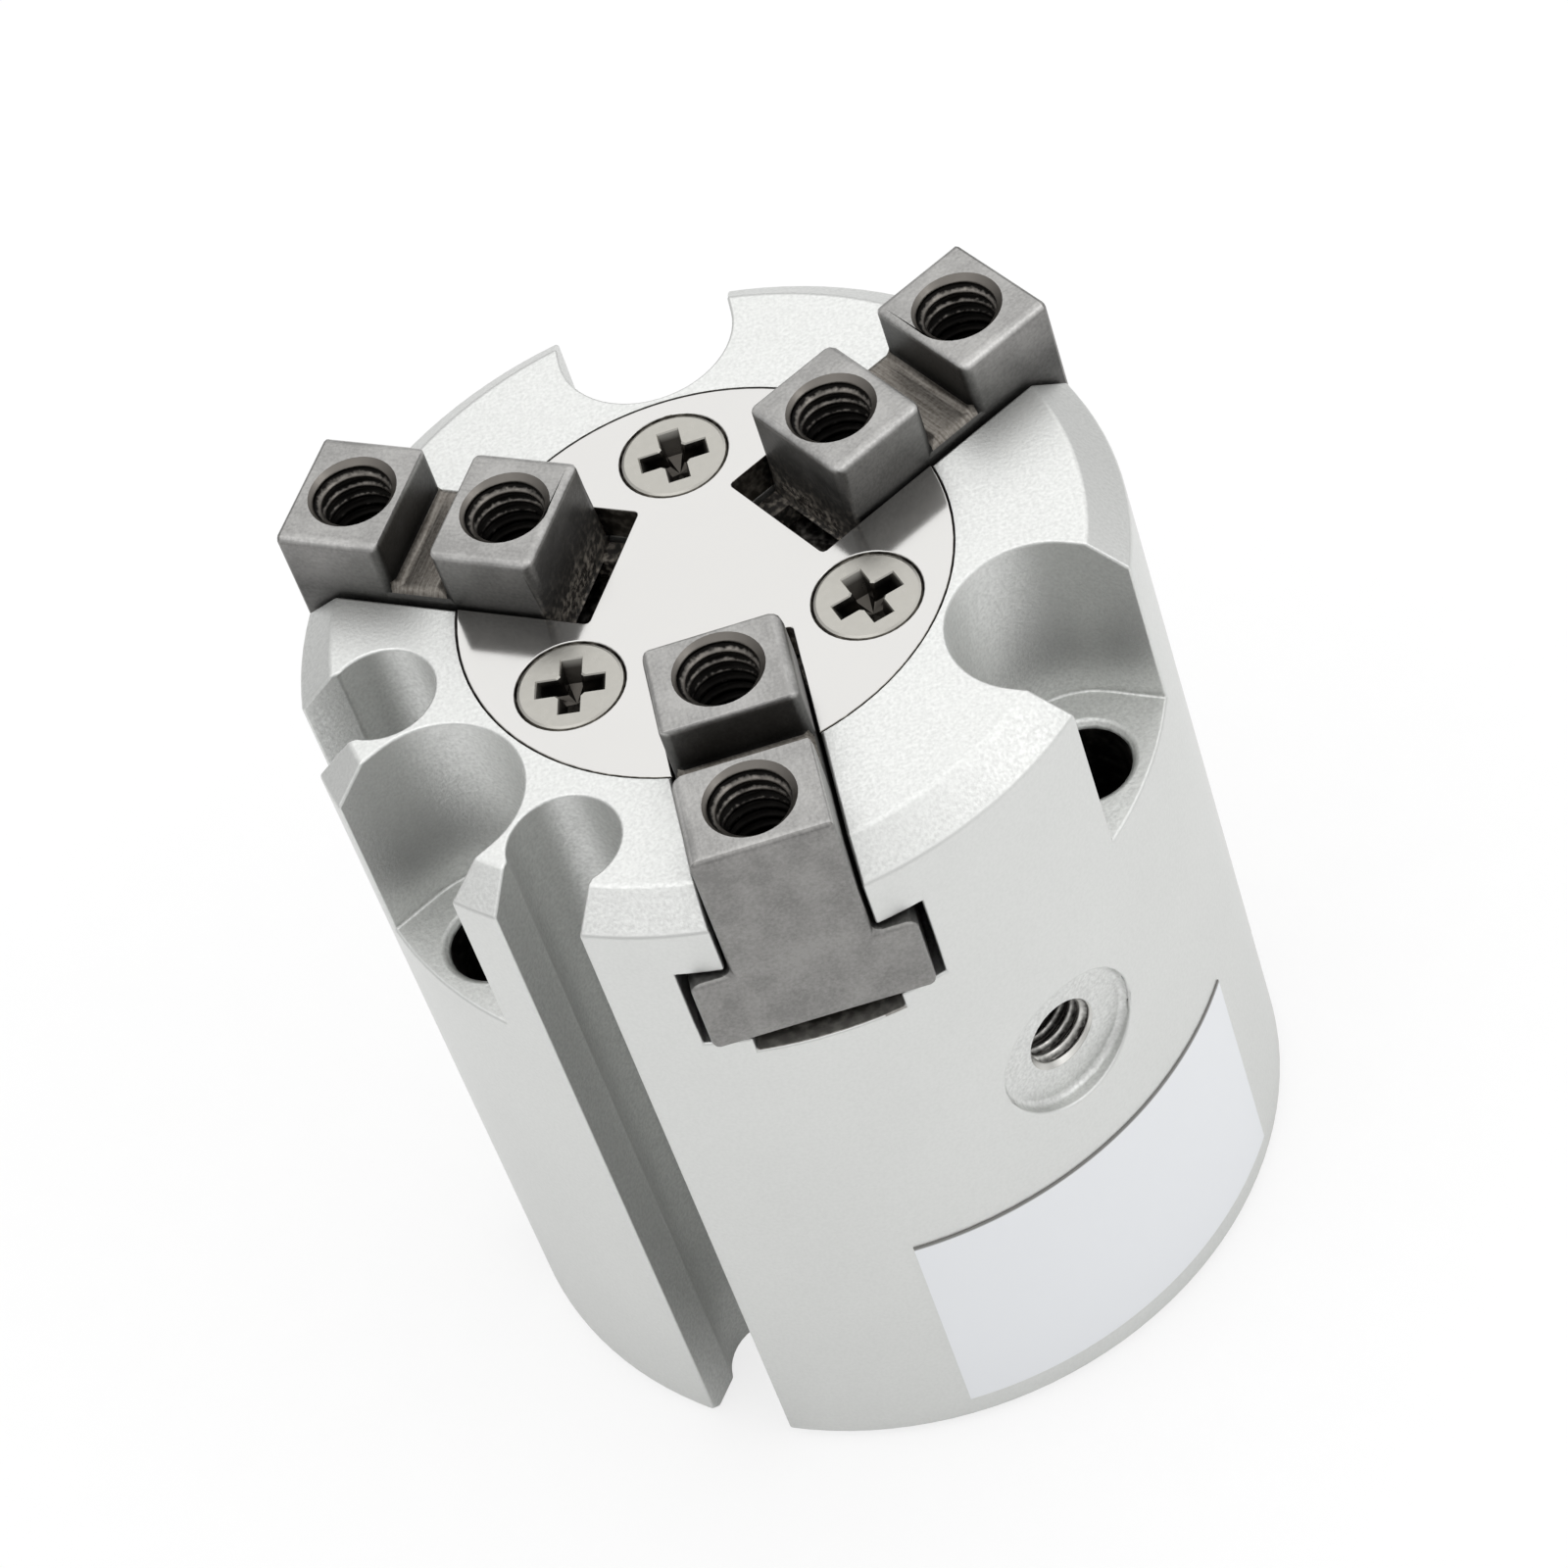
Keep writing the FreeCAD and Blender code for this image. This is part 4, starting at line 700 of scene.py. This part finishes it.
# The lines of a fine grinding wheel are too fine to show, so they are drawn this far apart.
GRINDING_LINES, MILLING_LINES = 0.09 * MM, 0.07 * MM
LINES_SHARE, FINE_SHARE, WALL_SHADE = 0.35, 0.6, 0.4
JAW_EDGE, ENDS_SHARE = 0.4 * MM, 0.5
JAW_END, END_BAND = 15.0 * MM, 0.15 * MM
JAW_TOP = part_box("jaw_front")[1].z
HOLE_NEAR, HOLE_FAR, JAW_HOLE_BEVEL = 6.9 * MM, 12.9 * MM, 0.4 * MM
JAW_THREAD_START = math.radians(-31)
DRILL_POINT = 0.75 * MM
JAW_HOLE_DEPTH = 4.6 * MM + DRILL_POINT
NOTCH_MIDDLE, NOTCH_REACH, NOTCH_FLOOR, NOTCH_SLACK = 10.0 * MM, 1.08 * MM, 32.5 * MM, 0.2 * MM
NOSE_REACH = 5.2 * MM


def tumbled_steel():
    """Tumbling dulls hardened steel to a cloudy, finely pitted grey, and burnishes the edges of the ground top; the
    sides' darker grey and the bright band at the top edges are partly painted shade and a painted highlight.
    """
    finish, tree, place = new_finish("tumbled_hardened_steel")
    along = add_node(tree, "ShaderNodeAttribute", attribute_name="jaw_place").outputs["Vector"]
    parts = add_node(tree, "ShaderNodeSeparateXYZ", {0: along})
    cloud = add_node(tree, "ShaderNodeTexNoise", {"Vector": along, "Scale": 1 / CLOUD_SIZE, "Detail": 5.0})
    pits = add_node(tree, "ShaderNodeTexNoise", {"Vector": along, "Scale": 1 / PIT_SIZE, "Detail": 3.0})
    drawn_out = add_node(tree, "ShaderNodeMapping", {"Vector": along, "Scale": (0.06, 1.0, 1.0)})
    grinding = add_node(tree, "ShaderNodeTexNoise", {
        "Vector": drawn_out, "Scale": 1 / GRINDING_LINES, "Detail": 2.0})
    drawn_across = add_node(tree, "ShaderNodeMapping", {"Vector": along, "Scale": (1.0, 0.04, 0.0)})
    milling = add_node(tree, "ShaderNodeTexNoise", {
        "Vector": drawn_across, "Scale": 1 / MILLING_LINES, "Detail": 2.0})

    # Where a spot is: on the top, at the end face, on the notch's floor, or on one of its walls.
    in_notch = add_node(tree, "ShaderNodeMath", {
        0: parts.outputs["X"], 1: NOTCH_MIDDLE, 2: NOTCH_REACH}, operation="COMPARE")
    height = add_node(tree, "ShaderNodeSeparateXYZ", {0: place}).outputs["Z"]
    outside = add_node(tree, "ShaderNodeMath", {
        0: parts.outputs["X"], 1: JAW_END - END_BAND}, operation="GREATER_THAN")
    climb = add_node(tree, "ShaderNodeMapRange", {
        "Value": height, "From Min": JAW_TOP - JAW_EDGE, "From Max": JAW_TOP})
    rise = add_node(tree, "ShaderNodeMath", {0: climb, 1: outside}, operation="SUBTRACT", use_clamp=True)
    on_floor = add_node(tree, "ShaderNodeMath", {
        0: parts.outputs["Z"], 1: NOTCH_FLOOR, 2: NOTCH_SLACK}, operation="COMPARE")
    notch = add_node(tree, "ShaderNodeMath", {0: in_notch, 1: on_floor}, operation="MULTIPLY")
    above = add_node(tree, "ShaderNodeMath", {
        0: parts.outputs["Z"], 1: NOTCH_FLOOR - NOTCH_SLACK}, operation="GREATER_THAN")
    off_middle = add_node(tree, "ShaderNodeMath", {0: parts.outputs["X"], 1: NOTCH_MIDDLE}, operation="SUBTRACT")
    turning = add_node(tree, "ShaderNodeMapRange", {
        "Value": add_node(tree, "ShaderNodeMath", {0: off_middle}, operation="ABSOLUTE"),
        "From Min": NOTCH_REACH - 0.03 * MM, "From Max": NOTCH_REACH + 0.3 * MM, "To Min": 1.0, "To Max": 0.0})
    upright = add_node(tree, "ShaderNodeMath", {0: turning, 1: above}, operation="MULTIPLY")
    # Painted shade on the notch's walls.
    walled = add_node(tree, "ShaderNodeMath", {0: upright, 1: rise}, operation="SUBTRACT", use_clamp=True)

    # Clean steel: dull sides with painted shade, burnished edges with a painted highlight, and a ground top; the
    # sides are painted darker towards the nose and lighter towards the outer end, as painted shade and light.
    lines = add_node(tree, "ShaderNodeMix", {0: notch, 2: grinding, 3: milling})
    fine = add_node(tree, "ShaderNodeMath", {0: lines, 1: LINES_SHARE, 2: pits}, operation="MULTIPLY_ADD")
    level = add_node(tree, "ShaderNodeMapRange", {
        "Value": add_node(tree, "ShaderNodeMath", {0: fine, 1: FINE_SHARE, 2: cloud}, operation="MULTIPLY_ADD"),
        "From Min": 0.7, "From Max": 1.1, "To Min": 0.78, "To Max": 1.18})
    # Painted shade and highlight: shaded sides rise through a bright edge band to the ground top.
    worn_and_lit = add_node(tree, "ShaderNodeValToRGB", {0: rise})
    worn_and_lit.color_ramp.elements[0].position = 0.3
    worn_and_lit.color_ramp.elements[0].color = linear(DULL_AND_SHADED_SIDE)
    worn_and_lit.color_ramp.elements[1].position = 0.98
    worn_and_lit.color_ramp.elements[1].color = linear(GROUND_TOP)
    worn_and_lit.color_ramp.elements.new(0.68).color = linear(BURNISHED_EDGE_AND_HIGHLIGHT)
    # Painted shade and light on the sides: darker towards the nose, lighter towards the outer end.
    side_shading = add_node(tree, "ShaderNodeMapRange", {
        "Value": parts.outputs["X"], "From Min": 5.0 * MM, "From Max": 13.0 * MM, "To Min": 0.74, "To Max": 1.12})
    toned = add_node(tree, "ShaderNodeMix", {0: rise, 2: side_shading, 3: 1.0})
    clean = add_node(tree, "ShaderNodeVectorMath", {
        0: worn_and_lit, "Scale": add_node(tree, "ShaderNodeMath", {0: level, 1: toned}, operation="MULTIPLY")},
        operation="SCALE")

    # The notch's floor is milled, its walls are darkened as painted shade, and painted shade dims the foot of every
    # side except at the outer end.
    milled = add_node(tree, "ShaderNodeValToRGB", {
        0: add_node(tree, "ShaderNodeMix", {0: 0.4, 2: milling, 3: pits})})
    milled.color_ramp.elements[0].position = 0.36
    milled.color_ramp.elements[0].color = linear(MILLED_VALLEY)
    milled.color_ramp.elements[1].position = 0.66
    milled.color_ramp.elements[1].color = linear(MILLED_RIDGE)
    # Painted shade: the sides darken towards the plate.
    foot = add_node(tree, "ShaderNodeMapRange", {
        "Value": height, "From Min": body_top + 0.2 * MM, "From Max": body_top + 2.5 * MM,
        "To Min": 0.4, "To Max": 1.0})
    foot_shade_off_end = add_node(tree, "ShaderNodeMath", {0: foot, 1: outside}, operation="MAXIMUM")
    shade_factor = add_node(tree, "ShaderNodeMath", {0: walled, 1: -WALL_SHADE, 2: foot_shade_off_end}, operation="MULTIPLY_ADD")
    dimmed = add_node(tree, "ShaderNodeVectorMath", {0: clean, "Scale": shade_factor}, operation="SCALE")
    faced = add_node(tree, "ShaderNodeMix", {0: notch, 6: dimmed, 7: milled}, data_type="RGBA").outputs[2]

    # Grease on the nose, thinning out upwards, in black and grey specks; below the cover the grease is painted
    # brighter, as painted light against the shade there.
    near = add_node(tree, "ShaderNodeMapRange", {
        "Value": parts.outputs["X"], "From Min": NOSE_REACH, "From Max": NOSE_REACH + NEAR,
        "To Min": 1.0, "To Max": 0.0})
    low = add_node(tree, "ShaderNodeMapRange", {
        "Value": parts.outputs["Z"], "From Min": body_top - 0.8 * MM, "From Max": body_top + 2.1 * MM,
        "To Min": 1.0, "To Max": 0.0})
    reached = add_node(tree, "ShaderNodeMath", {0: near, 1: low}, operation="MULTIPLY")
    patchy = add_node(tree, "ShaderNodeMapRange", {
        "Value": cloud, "From Min": 0.35, "From Max": 0.6, "To Min": 0.6, "To Max": 1.0})
    grease = add_node(tree, "ShaderNodeMath", {0: reached, 1: patchy}, operation="MULTIPLY")
    specks = add_node(tree, "ShaderNodeTexNoise", {"Vector": along, "Scale": 1 / SPECK_SIZE, "Detail": 3.0})
    greasy = add_node(tree, "ShaderNodeValToRGB", {0: specks})
    greasy.color_ramp.elements[0].position = 0.45
    greasy.color_ramp.elements[0].color = linear(BLACK_GREASE)
    greasy.color_ramp.elements[1].position = 0.72
    greasy.color_ramp.elements[1].color = linear(GREY_GREASE)
    # Painted light: the grease is lifted up to 2.6 times lower down, under the cover.
    painted_lift = add_node(tree, "ShaderNodeMapRange", {
        "Value": height, "From Min": body_top - 0.9 * MM, "From Max": body_top + 0.1 * MM,
        "To Min": 2.6, "To Max": 1.0})
    lifted_grease = add_node(tree, "ShaderNodeVectorMath", {0: greasy, "Scale": painted_lift}, operation="SCALE")
    colour = add_node(tree, "ShaderNodeMix", {0: grease, 6: faced, 7: lifted_grease}, data_type="RGBA").outputs[2]
    dull = add_node(tree, "ShaderNodeMapRange", {
        "Value": cloud, "From Min": 0.3, "From Max": 0.7, "To Min": 0.40, "To Max": 0.52})
    rough = add_node(tree, "ShaderNodeMix", {0: grease, 2: dull, 3: 0.25})
    bare = add_node(tree, "ShaderNodeMath", {0: 1.0, 1: grease}, operation="SUBTRACT")
    relief = add_node(tree, "ShaderNodeMix", {0: grease, 2: fine, 3: specks})
    strength = add_node(tree, "ShaderNodeMapRange", {"Value": grease, "To Min": 0.32, "To Max": 0.8})
    bump = add_node(tree, "ShaderNodeBump", {"Height": relief, "Strength": strength, "Distance": 0.03 * MM})
    shader = add_node(tree, "ShaderNodeBsdfPrincipled", {
        "Base Color": colour, "Metallic": bare, "Roughness": rough, "Normal": bump})
    add_node(tree, "ShaderNodeOutputMaterial", {"Surface": shader})
    return finish


def jaw_share(spot):
    """Tumbling rounds the long edges, and less so the ends and the notch; the cam's grooves inside stay crisp."""
    if spot.xy.length > JAW_END - NEAR:
        return ENDS_SHARE
    if spot.z < body_top - UNDER_PLATE:
        return 0.0 if spot.xy.length < PLATE_SEAT_RADIUS else 1.0
    across = any(
        abs((Matrix.Rotation(math.radians(-degrees), 3, "Z") @ spot).y) < NEAR and spot.z > JAW_TOP - NEAR
        for degrees in JAW_ANGLES.values())
    return ENDS_SHARE if across else 1.0


jaw_finish = tumbled_steel()
tapped_steel = tapped_metal("oiled_and_shaded_tapped_steel", "#7A7671", "#141312", 0.68)
for jaw, degrees in JAW_ANGLES.items():
    riding = jaw.replace("jaw_", "jaw_body_")
    swing = Matrix.Rotation(math.radians(degrees), 4, "Z")
    shape = merged_copy(jaw)
    mouths = [swing @ Vector((middle, 0, JAW_TOP)) for middle in (HOLE_NEAR, HOLE_FAR)]
    for mouth in mouths:
        reach = TAP_DRILL_RADIUS + JAW_HOLE_BEVEL + HAIR
        open_hole(shape, mouth, Vector((0, 0, 1)), reach, JAW_HOLE_DEPTH + NEAR)
    blank = new_piece(jaw + "_tumbled", shape, [jaw_finish], JAW_EDGE, share=jaw_share)
    rounded = bpy.data.meshes.new_from_object(blank.evaluated_get(bpy.context.evaluated_depsgraph_get()))
    own_place = rounded.attributes.new("jaw_place", "FLOAT_VECTOR", "POINT")
    for mark, vert in zip(own_place.data, rounded.vertices):
        mark.vector = swing.inverted() @ vert.co
    blank.modifiers.clear()
    blank.data = rounded
    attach(blank, riding)
    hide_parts(jaw)
    sizes = thread_sizes(JAW_HOLE_BEVEL, JAW_HOLE_DEPTH, DRILL_POINT, tapped_steel)
    sunk = Vector((0, 0, UNDERLAP))
    turn = Euler((0, 0, JAW_THREAD_START))
    threads = grown(jaw + "_threads", threaded_hole, sizes, [(mouth - sunk, turn) for mouth in mouths])
    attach(threads, riding)


# Stage. A white floor that keeps a soft shadow, a white surround, and wide soft lamps.
FLOOR_SIZE, FLOOR_GAP = 2.0, 0.02 * MM
PAPER_FIBRES, PAPER_LIFT = 2 * MM, 0.75
# Each lamp's place and width in metres, and its power in watts.
LAMPS = {
    "key_lamp": ((-0.12, -0.06, 0.42), 0.30, 0.25),
    "back_lamp": ((0.10, 0.28, 0.46), 0.50, 0.45),
    "fill_lamp": ((0.36, -0.22, 0.16), 0.22, 0.09),
    "right_lamp": ((0.36, -0.11, 0.40), 0.20, 0.19),
}


def white_paper():
    """Matte white: seen directly it is lifted to the white of the surround, and it still takes a shadow."""
    finish, tree, place = new_finish("white_paper")
    paths = add_node(tree, "ShaderNodeLightPath")
    fibres = add_node(tree, "ShaderNodeTexNoise", {"Vector": place, "Scale": 1 / PAPER_FIBRES})
    tone = add_node(tree, "ShaderNodeMapRange", {"Value": fibres, "To Min": 0.86, "To Max": 0.9})
    paper = add_node(tree, "ShaderNodeBsdfDiffuse", {"Color": tone})
    glow = add_node(tree, "ShaderNodeEmission", {"Color": linear("#FFFFFF"), "Strength": 1.0})
    share = add_node(tree, "ShaderNodeMath", {
        0: paths.outputs["Is Camera Ray"], 1: PAPER_LIFT}, operation="MULTIPLY")
    mix = add_node(tree, "ShaderNodeMixShader", {0: share, 1: paper, 2: glow})
    add_node(tree, "ShaderNodeOutputMaterial", {"Surface": mix})
    return finish


half = FLOOR_SIZE / 2
floor_mesh = bpy.data.meshes.new("floor")
floor_mesh.from_pydata([(-half, -half, 0), (half, -half, 0), (half, half, 0), (-half, half, 0)], [], [(0, 1, 2, 3)])
floor_mesh.materials.append(white_paper())
floor = bpy.data.objects.new("floor", floor_mesh)
floor.location.z = cad_low.z - FLOOR_GAP
bpy.context.scene.collection.objects.link(floor)

# The surround: white where the camera sees it, and a soft dome, brighter above, that lights the metal.
world = bpy.data.worlds.new("studio")
bpy.context.scene.world = world
world.use_nodes = True
tree = world.node_tree
tree.nodes.clear()
paths = add_node(tree, "ShaderNodeLightPath")
seen = add_node(tree, "ShaderNodeMath", {
    0: paths.outputs["Is Camera Ray"], 1: paths.outputs["Is Transmission Ray"]}, operation="MAXIMUM")
way = add_node(tree, "ShaderNodeSeparateXYZ", {0: add_node(tree, "ShaderNodeTexCoord").outputs["Generated"]})
height = add_node(tree, "ShaderNodeMapRange", {
    "Value": way.outputs["Z"], "From Min": 0.05, "From Max": 0.62, "To Min": 0.40, "To Max": 1.12})
across = add_node(tree, "ShaderNodeMapRange", {
    "Value": way.outputs["X"], "From Min": -1.0, "From Max": 1.0, "To Min": 0.82, "To Max": 1.02})
dome = add_node(tree, "ShaderNodeMath", {0: height, 1: across}, operation="MULTIPLY")
strength = add_node(tree, "ShaderNodeMapRange", {"Value": seen, "To Min": dome, "To Max": 1.0})
sky = add_node(tree, "ShaderNodeBackground", {"Color": linear("#FFFFFF"), "Strength": strength})
add_node(tree, "ShaderNodeOutputWorld", {"Surface": sky})

# Every lamp looks at one point, a little above the middle of the body.
lit = Vector((0, 0, body_top * 0.6))
for name, (place, width, power) in LAMPS.items():
    lamp = bpy.data.lights.new(name, "AREA")
    lamp.shape = "SQUARE"
    lamp.size = width
    lamp.energy = power
    holder = bpy.data.objects.new(name, lamp)
    holder.location = place
    holder.rotation_euler = (Vector(place) - lit).to_track_quat("Z", "Y").to_euler()
    bpy.context.scene.collection.objects.link(holder)

# The camera stands, looks and is rolled as the photograph's own points say.
CAMERA_PLACE = Vector((11.883, -137.131, 174.400)) * MM
AZIMUTH, ELEVATION, ROLL = math.radians(4.898), math.radians(48.212), math.radians(20.44)
LENS = 130.275
back = Vector((
    math.sin(AZIMUTH) * math.cos(ELEVATION), -math.cos(AZIMUTH) * math.cos(ELEVATION), math.sin(ELEVATION)))
level = Vector((math.cos(AZIMUTH), math.sin(AZIMUTH), 0))
upright = back.cross(level)
side = level * math.cos(ROLL) - upright * math.sin(ROLL)
over = level * math.sin(ROLL) + upright * math.cos(ROLL)
camera = bpy.data.objects.new("camera", bpy.data.cameras.new("camera"))
camera.data.lens = LENS
camera.data.clip_start = 0.01
camera.matrix_world = Matrix.Translation(CAMERA_PLACE) @ Matrix((side, over, back)).transposed().to_4x4()
bpy.context.scene.collection.objects.link(camera)
bpy.context.scene.camera = camera
bpy.context.scene.view_settings.view_transform = "Standard"
